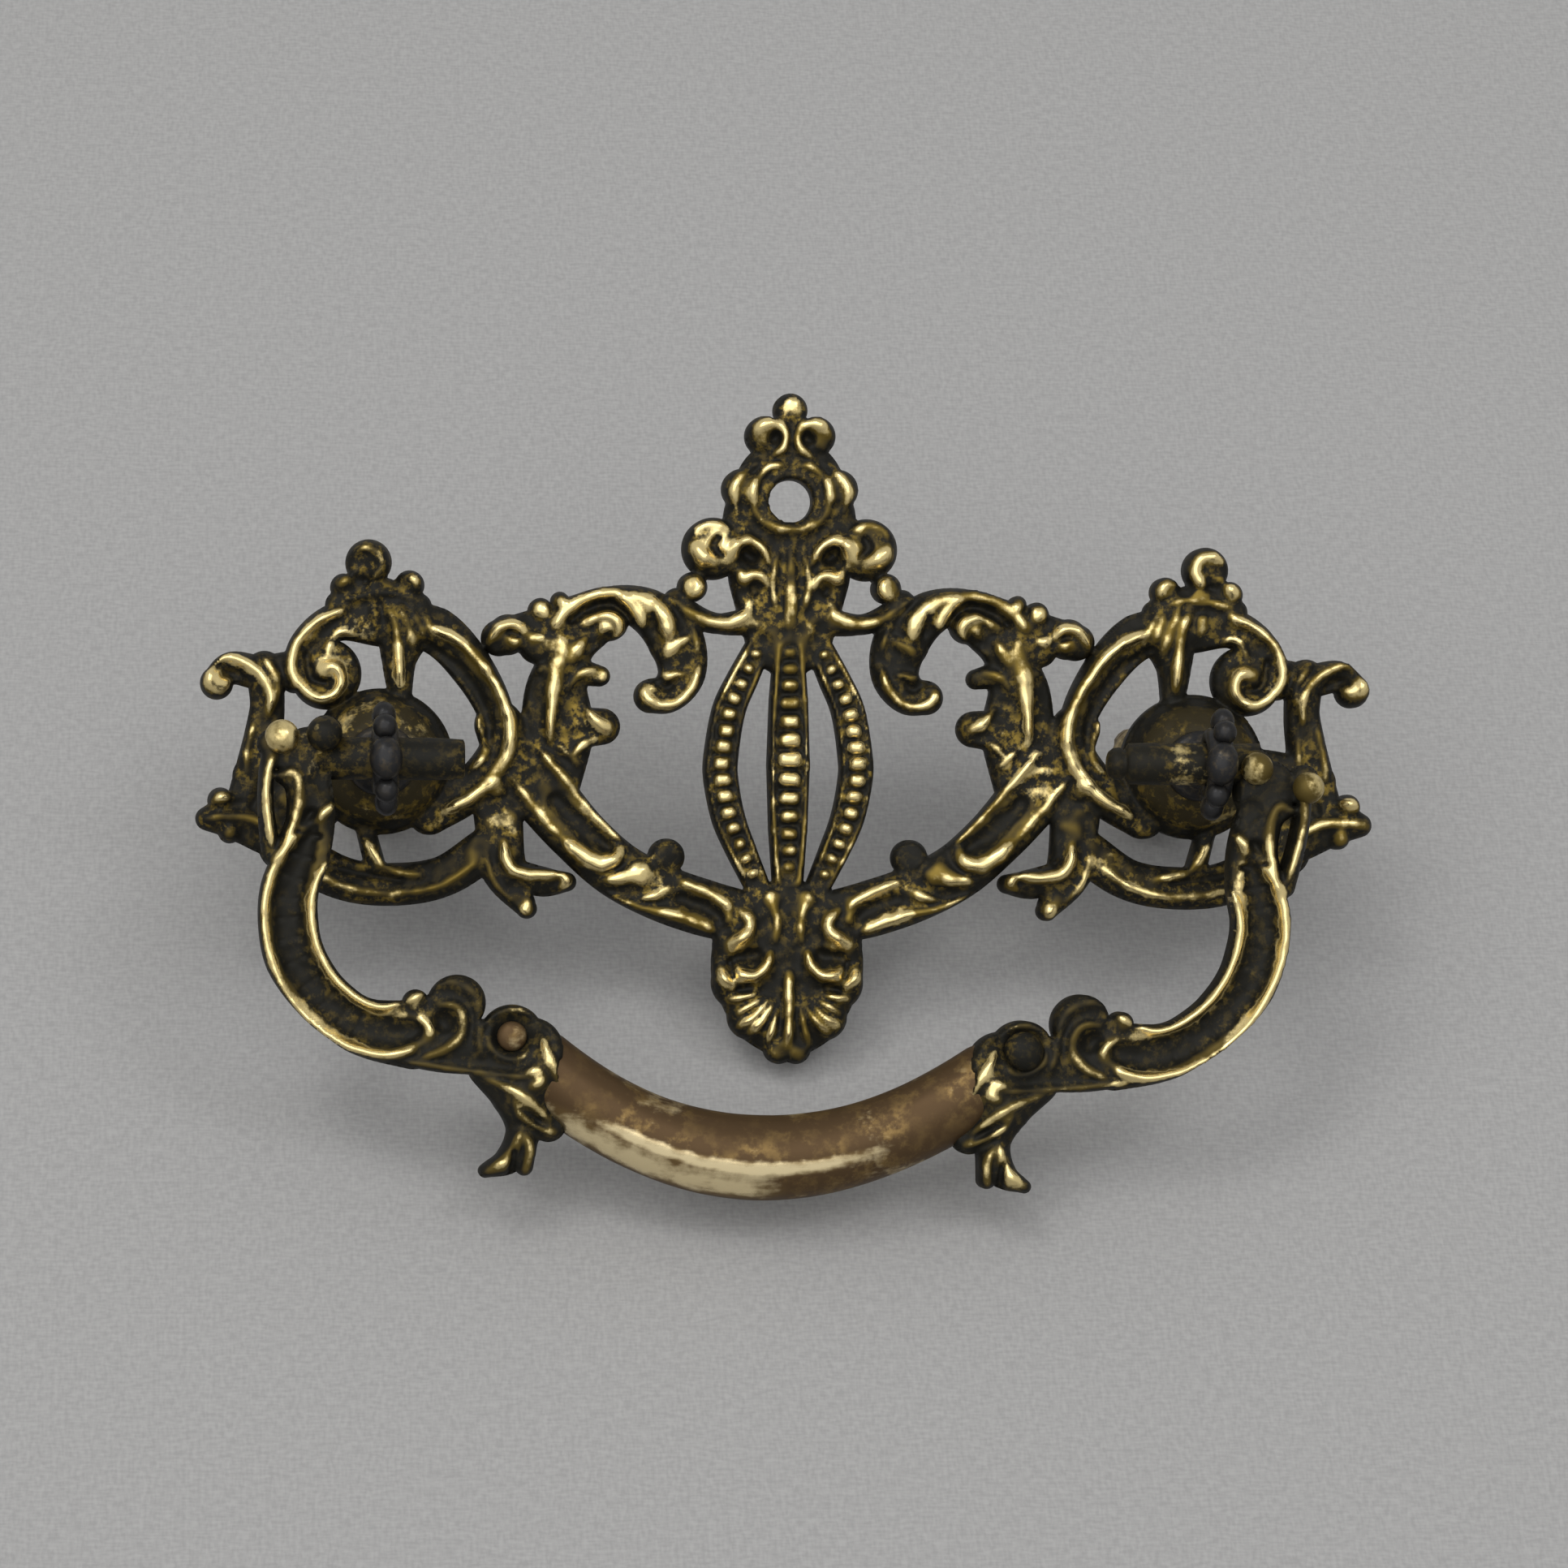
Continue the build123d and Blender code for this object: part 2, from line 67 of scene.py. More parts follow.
def flowing(points, per_span=7):
    """A smooth line through points of x, z and width, as its places and its width at each of them."""
    p = np.array(points, float)
    steps = np.arange(0, len(p) - 1 + 1e-6, 1 / per_span)
    width = np.interp(steps, np.arange(len(p)), p[:, 2])
    p = p[:, :2]
    ends = np.vstack([2 * p[0] - p[1], p, 2 * p[-1] - p[-2]])
    line = []
    for i in range(len(p) - 1):
        a, b, c, d = ends[i:i + 4]
        for t in np.arange(per_span) / per_span:
            square, cube = 2 * a - 5 * b + 4 * c - d, 3 * b - a - 3 * c + d
            line.append(0.5 * (2 * b + (c - a) * t + square * t**2 + cube * t**3))
    return np.array(line + [p[-1]]), width


def headings(line):
    """The direction of a line at each of its places."""
    way = np.gradient(line, axis=0)
    return way / np.linalg.norm(way, axis=1)[:, None]


class Casting:
    """A casting drawn in the XZ plane in mm, on a grid. For each grid point it holds how far inside the
    outline the point lies, how high the limbs are there, and what is raised on them or cut into them."""

    far_outside = -9.0
    margin = 0.6

    def __init__(self, low, high, step):
        self.step = step
        self.x = np.arange(low[0], high[0] + step / 2, step)
        self.z = np.arange(low[1], high[1] + step / 2, step)
        self.inside = np.full((len(self.z), len(self.x)), self.far_outside)
        self.body = np.zeros_like(self.inside)
        self.rise = np.zeros_like(self.inside)
        self.sink = np.zeros_like(self.inside)

    def brush(self, points, mark):
        """Runs a round brush along points of x, z and width, and calls mark for each stretch with the
        part of the grid that it touches. A single point is a round dab."""
        if len(points) == 1:
            line, wide = np.array(points * 2)[:, :2], [points[0][2]] * 2
        else:
            line, wide = flowing(points)
        run = np.insert(np.cumsum(np.linalg.norm(np.diff(line, axis=0), axis=1)), 0, 0)
        for p, q, w0, w1, start in zip(line, line[1:], wide, wide[1:], run):
            reach = max(w0, w1) / 2 + self.margin
            left, right = np.searchsorted(self.x, (min(p[0], q[0]) - reach, max(p[0], q[0]) + reach))
            low, high = np.searchsorted(self.z, (min(p[1], q[1]) - reach, max(p[1], q[1]) + reach))
            if left == right or low == high:
                continue
            part = np.s_[low:high, left:right]
            x, z = self.x[None, left:right] - p[0], self.z[low:high, None] - p[1]
            way = q - p
            along = np.clip((x * way[0] + z * way[1]) / max(way @ way, 1e-9), 0, 1)
            away = np.hypot(x - along * way[0], z - along * way[1])
            half = (w0 + (w1 - w0) * along) / 2
            covered = start + along * np.linalg.norm(way)
            mark(part, half - away, away / half, np.minimum(covered, run[-1] - covered))

    def scroll(self, points, level, crown):
        """A limb of the casting with a rounded back, which also widens the outline."""
        def mark(part, inside, off, from_end):
            self.inside[part] = np.maximum(self.inside[part], inside)
            back = level + crown * np.sqrt(np.clip(1 - off**2, 0, 1))
            self.body[part] = np.maximum(self.body[part], np.where(inside > 0, back, 0))
        self.brush(points, mark)

    def ridge(self, points, height):
        """A raised line with a soft foot that swells out of a limb and dies away at both ends."""
        def mark(part, inside, off, from_end):
            crest = 0.5 * np.clip(1 - off**2, 0, 1) ** 0.7 + 0.45 * np.exp(-((off / 1.4) ** 2))
            crest *= np.clip(0.45 + from_end / 1.8, 0, 1)
            self.rise[part] = np.maximum(self.rise[part], height * crest)
        self.brush(points, mark)

    def groove(self, points, depth):
        """A line cut into a limb."""
        def mark(part, inside, off, from_end):
            self.sink[part] = np.maximum(self.sink[part], depth * np.clip(1 - off**2, 0, 1))
        self.brush(points, mark)

    def pillow(self, centre, way, length, width, height):
        """A bead with a squarish foot and a domed top, set along the given direction."""
        reach = max(length, width) / 2 + self.step
        left, right = np.searchsorted(self.x, (centre[0] - reach, centre[0] + reach))
        low, high = np.searchsorted(self.z, (centre[1] - reach, centre[1] + reach))
        x, z = self.x[None, left:right] - centre[0], self.z[low:high, None] - centre[1]
        u = np.abs(x * way[0] + z * way[1]) / (length / 2)
        v = np.abs(z * way[0] - x * way[1]) / (width / 2)
        bead = height * np.sqrt(np.clip(1 - u**3 - v**3, 0, 1))
        self.rise[low:high, left:right] = np.maximum(self.rise[low:high, left:right], bead)


def softened(field, radius):
    """The field blurred over a radius given in grid steps."""
    up = np.fft.fftfreq(field.shape[0])[:, None]
    across = np.fft.rfftfreq(field.shape[1])[None, :]
    blur = np.exp(-2 * (pi * radius) ** 2 * (up**2 + across**2))
    return np.fft.irfft2(np.fft.rfft2(field) * blur, field.shape)


def roughcast(shape, seed, height):
    """The grain that a sand mould leaves, a soft relief of about the given height in mm."""
    grain = softened(np.random.default_rng(seed).normal(size=shape), 1.6)
    return height * (grain / grain.std())


def proudness(height, inside):
    """How far each point stands above the metal round it, in mm."""
    neighbourhood, least_metal = 4.5, 0.02
    metal = (inside > 0).astype(float)
    share = np.maximum(softened(metal, neighbourhood), least_metal)
    return (height - softened(height * metal, neighbourhood) / share) * metal


def rub(proud, x, z, places):
    """Makes places of x, z and radius more or less proud than they are, so that they shine more or less."""
    for middle_x, middle_z, radius, change in places:
        near = np.exp(-((np.hypot(x - middle_x, z - middle_z) / radius) ** 2))
        proud += change * near * (proud > 0.03)


def skin(x, z, inside, front, front_rim, back, back_rim, proud, block):
    """Points, faces and proudness of a front sheet, a back sheet and the wall that joins them at the outline.
    The back sheet takes one face for each block of grid cells that lies inside the outline."""
    corner = inside > 0
    ids = np.full(inside.shape, -1)
    ids[corner] = np.arange(corner.sum())
    row, column = np.nonzero(corner)
    grid = np.stack([x[column], z[row], front[corner], back[corner], proud[corner]], 1)
    cuts, cut_ids, rim, cells = [], {}, [], []

    def cut(r0, c0, r1, c1):
        key = (min(r0, r1), min(c0, c1), r0 == r1)
        if key not in cut_ids:
            t = inside[r0, c0] / (inside[r0, c0] - inside[r1, c1])
            near = proud[r0, c0] if corner[r0, c0] else proud[r1, c1]
            cut_x, cut_z = x[c0] + (x[c1] - x[c0]) * t, z[r0] + (z[r1] - z[r0]) * t
            cuts.append((cut_x, cut_z, front_rim, back_rim, near))
            cut_ids[key] = len(grid) + len(cuts) - 1
        return cut_ids[key]

    quad = np.stack([corner[:-1, :-1], corner[:-1, 1:], corner[1:, 1:], corner[1:, :-1]])
    count = quad.sum(0)
    whole = count == 4
    r, c = np.nonzero(whole)
    full = np.stack([ids[r, c], ids[r, c + 1], ids[r + 1, c + 1], ids[r + 1, c]], 1)
    for r, c in zip(*np.nonzero((count > 0) & (count < 4))):
        spots = [(r, c), (r, c + 1), (r + 1, c + 1), (r + 1, c)]
        ring, crossing = [], []
        for k in range(4):
            here, there = spots[k], spots[(k + 1) % 4]
            if corner[here]:
                ring.append(ids[here])
            if corner[here] != corner[there]:
                ring.append(cut(*here, *there))
                crossing.append((ring[-1], corner[here]))
        if len(crossing) == 2:
            cells.append(ring)
            out = next(i for i, leaving in crossing if leaving)
            rim.append((out, next(i for i, leaving in crossing if not leaving)))
        else:
            for k in range(4):
                if corner[spots[k]]:
                    before, after = spots[k - 1], spots[(k + 1) % 4]
                    first, last = cut(*before, *spots[k]), cut(*spots[k], *after)
                    cells.append([first, ids[spots[k]], last])
                    rim.append((last, first))
    points = np.vstack([grid, np.array(cuts)])
    total = len(points)
    rows, columns = (n // block for n in whole.shape)
    blocks = whole[:rows * block, :columns * block].reshape(rows, block, columns, block).all((1, 3))
    r, c = (block * k for k in np.nonzero(blocks))
    back_faces = np.stack([ids[r + block, c], ids[r + block, c + block], ids[r, c + block], ids[r, c]], 1)
    left = whole.copy()
    left[:rows * block, :columns * block] &= ~np.kron(blocks, np.ones((block, block), bool))
    r, c = np.nonzero(left)
    single = np.stack([ids[r, c], ids[r + 1, c], ids[r + 1, c + 1], ids[r, c + 1]], 1)
    back_faces = (np.vstack([back_faces, single]) + total).tolist()
    back_cells = [[i + total for i in reversed(ring)] for ring in cells]
    wall_ids = sorted({i for pair in rim for i in pair})
    wall_at = {i: 2 * total + k for k, i in enumerate(wall_ids)}
    wall = [[a, wall_at[a], wall_at[b], b] for a, b in rim]
    front_points = points[:, (0, 2, 1)]
    back_points = points[:, (0, 3, 1)]
    vertices = np.vstack([front_points, back_points, back_points[wall_ids]])
    never_rubbed = -0.2
    stands = np.concatenate([points[:, 4], np.full(total + len(wall_ids), never_rubbed)])
    return vertices, full.tolist() + cells + back_faces + back_cells + wall, stands


def piece(name, vertices, faces, stands, material, crisp=180):
    """A smooth-shaded piece from points in mm, which keeps how proud of its surroundings each point stands.
    Edges that bend by more than the crisp angle in degrees stay sharp."""
    mesh = bpy.data.meshes.new(name)
    mesh.from_pydata((np.asarray(vertices) * MM).tolist(), [], faces)
    mesh.attributes.new("proud", "FLOAT", "POINT").data.foreach_set("value", np.asarray(stands, np.float32))
    mesh.shade_smooth()
    mesh.set_sharp_from_angle(angle=radians(crisp))
    mesh.materials.append(material)
    made = bpy.data.objects.new(name, mesh)
    bpy.context.scene.collection.objects.link(made)
    return made


# The limbs of the right half, each a centre line of x, z and width in mm, first from the middle of the
# back, then from the post's axis
side_strap = [(2.6, 11.5, 2.4), (4.3, 8, 2.9), (5.6, 5, 3.1), (6.3, 0.8, 3.2), (6.3, -1.5, 3.2),
    (5.6, -5, 3.1), (4.4, -8, 2.8), (2.8, -11.5, 2.3)]
limbs = [
    [(0, -13, 2.6), (0, -6, 3.6), (0, 0, 4), (0, 6, 3.6), (0, 12.5, 2.6)],
    [(0, 32, 3), (0, 28, 7), (0, 25, 11)],
    [(0.5, 27, 3), (3.9, 24.7, 3.4), (4.6, 21.7, 3.6)],
    [(0, 24, 9), (0, 18, 11.4), (0, 12.5, 8.4)],
    [(2, 13.6, 3), (6.5, 13.1, 1.9), (9.2, 14, 2.2), (10.6, 15.2, 2.4)],
    [(20.5, 14.2, 2.6), (16.8, 15.1, 2.8), (13.2, 14.2, 4.2), (10.6, 11.5, 5.2), (10.0, 8.6, 4.4),
        (11.2, 6.6, 3.6), (12.9, 6.3, 3.2)],
    [(0, -13, 4), (1.5, -16, 10), (2.4, -19, 9.4), (1.8, -23, 7), (0, -26.5, 2.6)],
]
wing_limbs = [
    [(-11, 3.5, 4.5), (-13, 0, 6), (-15.6, -3.4, 5.8), (-18.6, -6.8, 5.4), (-22.1, -9.9, 5.3),
        (-26.1, -12, 5.3), (-30.1, -13.4, 5.3), (-34.1, -14.4, 5)],
    [(-1.1, 13, 3.6), (-5.1, 12.2, 4.4), (-8.3, 9, 4), (-10.7, 4.6, 3.3), (-10.6, 1, 3), (-8.2, -2.6, 4),
        (-4.6, -4.8, 4)],
    [(-10, -8, 4), (-6, -10.6, 3.8), (-1.6, -11.4, 4), (3, -11, 4), (7, -9, 4.2), (10, -6, 4.4)],
    [(-2.4, 13, 5.5), (-1.7, 9.5, 3.2), (-1.9, 5, 1.8)],
    [(0, 12.7, 4), (4, 13, 3.6), (7, 10.8, 3), (8, 7.6, 2.6)],
    [(1.4, -6, 1.8), (0.2, -10.5, 2)],
    [(4, -1, 6), (8, -1, 5), (11.5, -1.5, 4.4)],
    [(5, -4, 3.5), (7.4, -6.5, 4.4), (9, -8, 4.4)],
    [(4, 14.6, 2.4), (0.6, 15.8, 3), (-3.4, 14.4, 2.6)],
    [(7.4, 8.7, 3.4), (11, 8.2, 3.2), (13.8, 8.6, 3), (15.3, 7.4, 2.6)],
    [(10.8, 8.5, 3.4), (10.5, 5.2, 3.2), (10.9, 2, 3.6), (11.4, -1.5, 4.4), (11.9, -4.5, 5)],
    [(10.2, -6.3, 5), (13.4, -5.2, 4.4), (16, -5.4, 2.2)],
    [(-15.6, -2, 6), (-16.4, 3, 7), (-16.4, 7, 5.6), (-17.8, 10.6, 4), (-20.6, 12.6, 2.6)],
    [(-17, 8.8, 3), (-20.4, 8.1, 1.9)],
    [(-17, 3.2, 4.2), (-20.6, 3.4, 3.4)],
    [(-11, 11.6, 3.4), (-14, 12.4, 3.6), (-17.4, 13.4, 3)],
    [(-11, -5, 4.5), (-11.6, -10, 4.2), (-13.7, -13.6, 1.9)],
    [(-12, -10.3, 3), (-15.2, -11.1, 2.8), (-17.4, -11.1, 1.8)],
]
# Round lobes: x, z, radius, and how much of a ball each is
lobes = [
    (1.5, -12.8, 1.3, 0.3), (0, 33.1, 1.6, 0.5), (2.4, 30.7, 1.85, 0.4), (4.5, 25.7, 1.9, 0.5),
    (7.2, 20.1, 2.9, 0.45), (9.1, 16.5, 1.4, 0.9), (16.8, 13.1, 1.7, 0.4), (19.3, 13.2, 1.4, 0.4),
    (11.4, -8.7, 1.7, 0), (4.6, -17, 2.4, 0.3), (4.5, -20.4, 2.6, 0.3), (3.4, -23.6, 2.2, 0.2),
    (0.8, -26.6, 1.4, 0.3),
]
wing_lobes = [
    (-10.8, -2.4, 1.2, 0.4), (5.1, 8.1, 3.3, 0.2), (8.6, -3.6, 1.6, 0.3), (1.2, 18.5, 2.15, 0.25),
    (3.5, 16.2, 1.25, 0.3), (-2.6, 16.4, 1.4, 0.3), (15.2, 7.2, 1.55, 0.9), (14.8, -3.7, 1.2, 0.9),
    (13.9, -6.6, 1.1, 0.9), (-11.8, 11.9, 1.9, 0.3), (-14.6, 11, 1.8, 0.3), (-14.8, 14.2, 1.15, 0.9),
    (-16.6, 15.1, 0.85, 0.9),
]
# Raised lines that catch the light: height, and points of x, z and width
crests = [
    # Crown
    (0.9, [(1.9, 28.7, 0.6), (0.8, 29.5, 0.8), (0.6, 30.6, 0.8), (1.2, 31.8, 1), (2.5, 31.9, 1.5),
        (3.4, 31, 1.1)]),
    (0.7, [(0.5, 27.9, 0.8), (2, 27.7, 0.8), (3.2, 26.4, 0.9), (3.5, 24.6, 1), (3, 23, 0.8),
        (1.4, 21.9, 0.8), (0, 21.7, 0.9)]),
    (0.5, [(3, 28.2, 0.6), (4.8, 26.9, 0.9), (5.5, 25.2, 1), (5, 23.6, 0.7)]),
    (1.0, [(9.2, 20.4, 0.7), (8.6, 19.3, 1.4), (7.4, 18.7, 0.8)]),
    (0.5, [(9.4, 20.6, 0.6), (8.7, 22.1, 0.8), (7.2, 22.5, 0.8), (5.7, 21.8, 0.5)]),
    (1.0, [(5.5, 19.5, 1.4), (4.9, 20.5, 1.2), (3.8, 20.8, 1), (2.7, 20.1, 0.7), (2, 18.7, 0.5)]),
    (0.9, [(5.1, 18.2, 1), (4.4, 17.3, 1.2), (3.6, 17.6, 0.9), (2.7, 17.4, 0.8), (2.2, 16.5, 0.5)]),
    (0.6, [(10.6, 14.9, 0.7), (8.6, 13.6, 0.9), (6.4, 13.1, 1), (4.6, 13.7, 1), (3.7, 15, 0.7)]),
    (0.5, [(10.3, 15.2, 0.8), (9.2, 15.3, 1), (8.4, 16.4, 0.9), (8.9, 17.3, 0.7)]),
    (0.5, [(1.3, 14.5, 0.6), (1.7, 17, 0.7), (1.2, 20, 0.5)]),
    (0.5, [(0.2, 13, 0.7), (0.2, 16, 0.9), (0, 20, 0.6)]),
    # Acanthus scroll
    (0.9, [(22.3, 12, 0.6), (21.3, 13.9, 1.1), (19.4, 15.4, 1.2), (17, 16, 1.3), (15.2, 15.6, 0.8)]),
    (1.1, [(16.4, 15.9, 1.2), (14.9, 14.9, 1.5), (14.1, 13.5, 1.3), (13.9, 12.2, 0.5)]),
    (1.2, [(15.4, 15.9, 0.9), (13.4, 15, 1.6), (11.9, 13.5, 1.7), (11.3, 11.6, 0.9)]),
    (0.5, [(12.9, 16.1, 0.5), (10.8, 15, 0.7), (9.2, 12.9, 0.7), (8.6, 10.4, 0.4)]),
    (0.7, [(9.4, 11.8, 0.6), (10.8, 11, 1), (12.2, 10, 1)]),
    (0.6, [(9.8, 8.4, 0.5), (11.4, 8.1, 0.7), (12.6, 8.6, 0.4)]),
    (0.9, [(13.9, 7.4, 1.1), (13.4, 6, 1), (12, 5.3, 0.9), (10.3, 5.7, 0.9), (9.1, 7.2, 0.8),
        (8.5, 9, 0.4)]),
    (0.8, [(12.6, 7.1, 1.1), (13.3, 7.3, 1)]),
    (0.9, [(18.8, 13.1, 0.6), (17.6, 13.8, 0.8), (16.3, 13.3, 1), (15.9, 12, 1), (16.8, 10.8, 1),
        (18.4, 10.3, 0.5)]),
    (0.9, [(17.6, 12.8, 0.9), (17.1, 12, 1.2)]),
    (1.0, [(21.8, 12.4, 0.8), (21.5, 10.6, 1.6), (21.9, 8.4, 1.7), (22.3, 5, 0.9), (22.4, 2, 0.4)]),
    (0.8, [(19.2, 11.6, 0.5), (20.2, 10.2, 1.3), (21.4, 9, 1.2)]),
    (0.6, [(22.4, 13.4, 1.6), (21.2, 10.6, 2.8), (21.8, 6.4, 1)]),
    (0.8, [(23.8, 8.5, 0.6), (22.5, 8.9, 1.3)]),
    (0.6, [(18.3, 8.7, 0.5), (19.8, 8.1, 0.8), (21, 6.6, 0.5)]),
    (0.8, [(19.2, 5.4, 0.4), (18.1, 3.9, 0.9), (17, 3.3, 1)]),
    (0.7, [(20.3, 0.6, 0.4), (19.2, 1.7, 0.8), (18.3, 1.9, 0.9)]),
    (0.4, [(18.8, -0.4, 0.5), (20, 0.2, 0.6), (21.6, 1.6, 0.3)]),
    # Lower strap and its cuff
    (0.6, [(23.2, 1, 0.5), (20.8, -1.8, 0.6), (17.6, -5.3, 0.6), (15.2, -7.7, 0.5)]),
    (0.4, [(26.8, -0.6, 0.5), (24.6, -3.2, 0.6), (22.6, -5.6, 0.6), (21.2, -7.2, 0.6)]),
    (1.1, [(21, -7.3, 0.9), (19.4, -8.7, 1.4), (17.8, -9.4, 1.4), (16.5, -9, 1.3), (15.9, -8.2, 1.2)]),
    (0.9, [(17.7, -10.9, 0.5), (15.6, -10.7, 1.2), (13.9, -10.1, 2), (12.9, -9.8, 1.3)]),
    (0.4, [(14.2, -8.6, 0.5), (12.6, -9, 0.7), (11.6, -10, 0.6)]),
    (0.7, [(14.2, -12.7, 0.4), (12.8, -12.4, 0.7), (11.6, -11.8, 1)]),
    (0.6, [(10.3, -10.9, 0.5), (8, -11.8, 0.7), (6.1, -12.9, 0.7), (5.3, -13.9, 0.5)]),
    (0.7, [(17.4, -12.1, 0.4), (14, -13.5, 0.7), (11, -14.1, 0.9), (8.6, -14.9, 0.9), (6.8, -15.7, 0.7)]),
    # Palmette
    (0.8, [(5.4, -14.6, 1.2), (5.9, -14.1, 1)]),
    (1.0, [(4.6, -13.7, 0.7), (3.7, -14.6, 1.1), (3.9, -15.7, 1.2), (5.4, -16.8, 1)]),
    (1.1, [(1.7, -17.6, 0.5), (2.1, -18.8, 0.9), (3.2, -19.7, 1), (4.9, -19.6, 1.2)]),
    (1.0, [(6.6, -18.8, 0.9), (6.3, -19.9, 1.1), (5.3, -20.8, 0.6)]),
    (0.4, [(1.2, -16.6, 0.5), (1.1, -14.6, 0.7), (1.6, -12.8, 0.5)]),
    (0.9, [(0, -19.6, 0.9), (0, -22.6, 1), (0, -26.2, 0.8)]),
    (0.7, [(1, -22.4, 0.5), (1.5, -24.6, 0.7), (2.1, -26.3, 0.7)]),
    (0.8, [(1.4, -22.2, 0.5), (2.4, -23.8, 0.7), (3.7, -25.1, 0.9)]),
    (0.7, [(1.9, -22, 0.4), (3.2, -23.5, 0.6), (4.7, -24.5, 0.8)]),
    (0.7, [(2.4, -21.8, 0.4), (3.6, -22.5, 0.6), (4.9, -23.2, 0.8)]),
    (0.5, [(2.9, -21.5, 0.3), (4.3, -21.8, 0.5), (5.7, -22, 0.6)]),
]
wing_crests = [
    # Ring with its shell, and the volute beside it
    (1.0, [(-4.4, 12.6, 0.7), (-7.4, 11.1, 0.9), (-9.9, 8.4, 1), (-11.6, 5.3, 1.1), (-12, 2.4, 1.1),
        (-11.1, -0.4, 1.2), (-9, -2.9, 1.1), (-6, -4.6, 0.6)]),
    (0.4, [(-4, 9.6, 0.4), (-6.5, 7.6, 0.5), (-8.6, 4.6, 0.6), (-9, 2, 0.5)]),
    (0.6, [(-9.4, 2.6, 0.9), (-9.6, 0.8, 0.9), (-8.4, -0.8, 0.4)]),
    (0.7, [(0.8, 14.5, 0.9), (0.6, 12.9, 0.8)]),
    (0.9, [(-0.4, 14.7, 0.8), (-1.3, 12.6, 0.9), (-1.6, 9.6, 0.9), (-1.8, 7.1, 0.5)]),
    (0.9, [(-1.4, 14.8, 0.8), (-2.4, 12.6, 1.1), (-2.9, 10.4, 1)]),
    (0.8, [(-2.6, 14.5, 0.7), (-3.5, 12.6, 0.9), (-3.9, 11.4, 0.6)]),
    (0.7, [(-3.6, 14.1, 0.6), (-4.5, 12.4, 0.7), (-4.8, 11.5, 0.5)]),
    (1.0, [(3.4, 14.1, 0.6), (6.2, 12.8, 0.8), (8, 10.8, 0.9), (8.3, 8.4, 0.9), (7.4, 6.6, 0.9),
        (5.7, 5.7, 0.9), (4.2, 6.2, 0.9), (3.7, 7.5, 0.8), (4.3, 8.7, 0.9), (5.3, 8.6, 1.1)]),
    (0.5, [(2.6, 11.6, 0.4), (3.6, 12, 0.6), (4.6, 11.2, 0.7), (5, 9.9, 0.4)]),
    # Finial
    (0.8, [(2.6, 19.3, 0.6), (1.6, 19.9, 0.9), (0.3, 19.4, 1.1), (-0.1, 18.2, 1), (0.5, 17.2, 0.9),
        (1.4, 17.4, 0.6)]),
    (0.6, [(2.4, 17.6, 0.5), (3.3, 16.9, 0.9), (4.1, 16.3, 0.8)]),
    (0.6, [(-1.8, 17.3, 0.6), (-3, 17, 0.9), (-3.4, 15.9, 0.8)]),
    (0.6, [(0.6, 16.6, 1.3), (0.5, 15.4, 1.5)]),
    (0.4, [(-3.6, 14.8, 0.5), (-0.5, 15.6, 0.6), (3.6, 15, 0.5)]),
    # Outer curl, strap and leaf
    (0.9, [(16.2, 7, 1.1), (15.9, 8.8, 1), (14.4, 9.7, 0.8), (12.6, 9.1, 0.8), (11.1, 7.9, 0.8),
        (10.2, 6.2, 0.9), (10.3, 4.3, 0.4)]),
    (0.8, [(11.1, 9.8, 0.7), (10.2, 8.6, 0.8), (9.5, 7, 0.8), (9.6, 5.4, 0.4)]),
    (0.4, [(11.7, 4, 0.4), (12.3, 1.4, 0.6), (12.6, -1, 0.5)]),
    (0.3, [(9.8, 3, 0.4), (10, 0, 0.5), (10.6, -3, 0.4)]),
    (0.7, [(9.4, -6.6, 0.5), (12, -5.4, 0.8), (14.4, -5.2, 0.9), (16.2, -5.4, 0.9)]),
    (0.6, [(13.2, -3.4, 0.5), (14.8, -3.3, 0.9), (15.6, -4, 0.7)]),
    # Lower curve of the wing
    (0.4, [(9.2, -8.6, 0.5), (6, -10.5, 0.7), (2.4, -11.9, 0.7), (-1.6, -12.3, 0.7), (-5.4, -11.6, 0.6),
        (-8.6, -9.6, 0.4)]),
    (0.6, [(1.4, -7.4, 0.6), (0.4, -8.8, 0.9), (-1.2, -10, 0.9), (-3.8, -10.6, 0.5)]),
    # Leaf curl next to the ring
    (0.8, [(-9.9, 11, 0.5), (-10.8, 12.5, 0.8), (-12.4, 12.9, 0.8), (-13.5, 11.8, 0.6)]),
    (0.7, [(-11.9, 11.4, 0.9), (-12.9, 11, 0.9)]),
    (0.5, [(-15.6, 11.9, 0.5), (-14.2, 11.6, 0.9), (-13.4, 12.4, 0.7)]),
    # Hooked leaf below
    (1.0, [(-11.5, -7.4, 0.5), (-11.7, -9, 0.9), (-12.7, -10.2, 1), (-14.8, -10.4, 1), (-16.7, -10.2, 1),
        (-17.3, -11, 0.8), (-16.8, -11.7, 0.7)]),
    (0.4, [(-9.9, -8.6, 0.4), (-10.4, -11, 0.7), (-12, -12.8, 0.5)]),
    (0.7, [(-13.6, -13.4, 1), (-13.4, -14.2, 1.1)]),
]
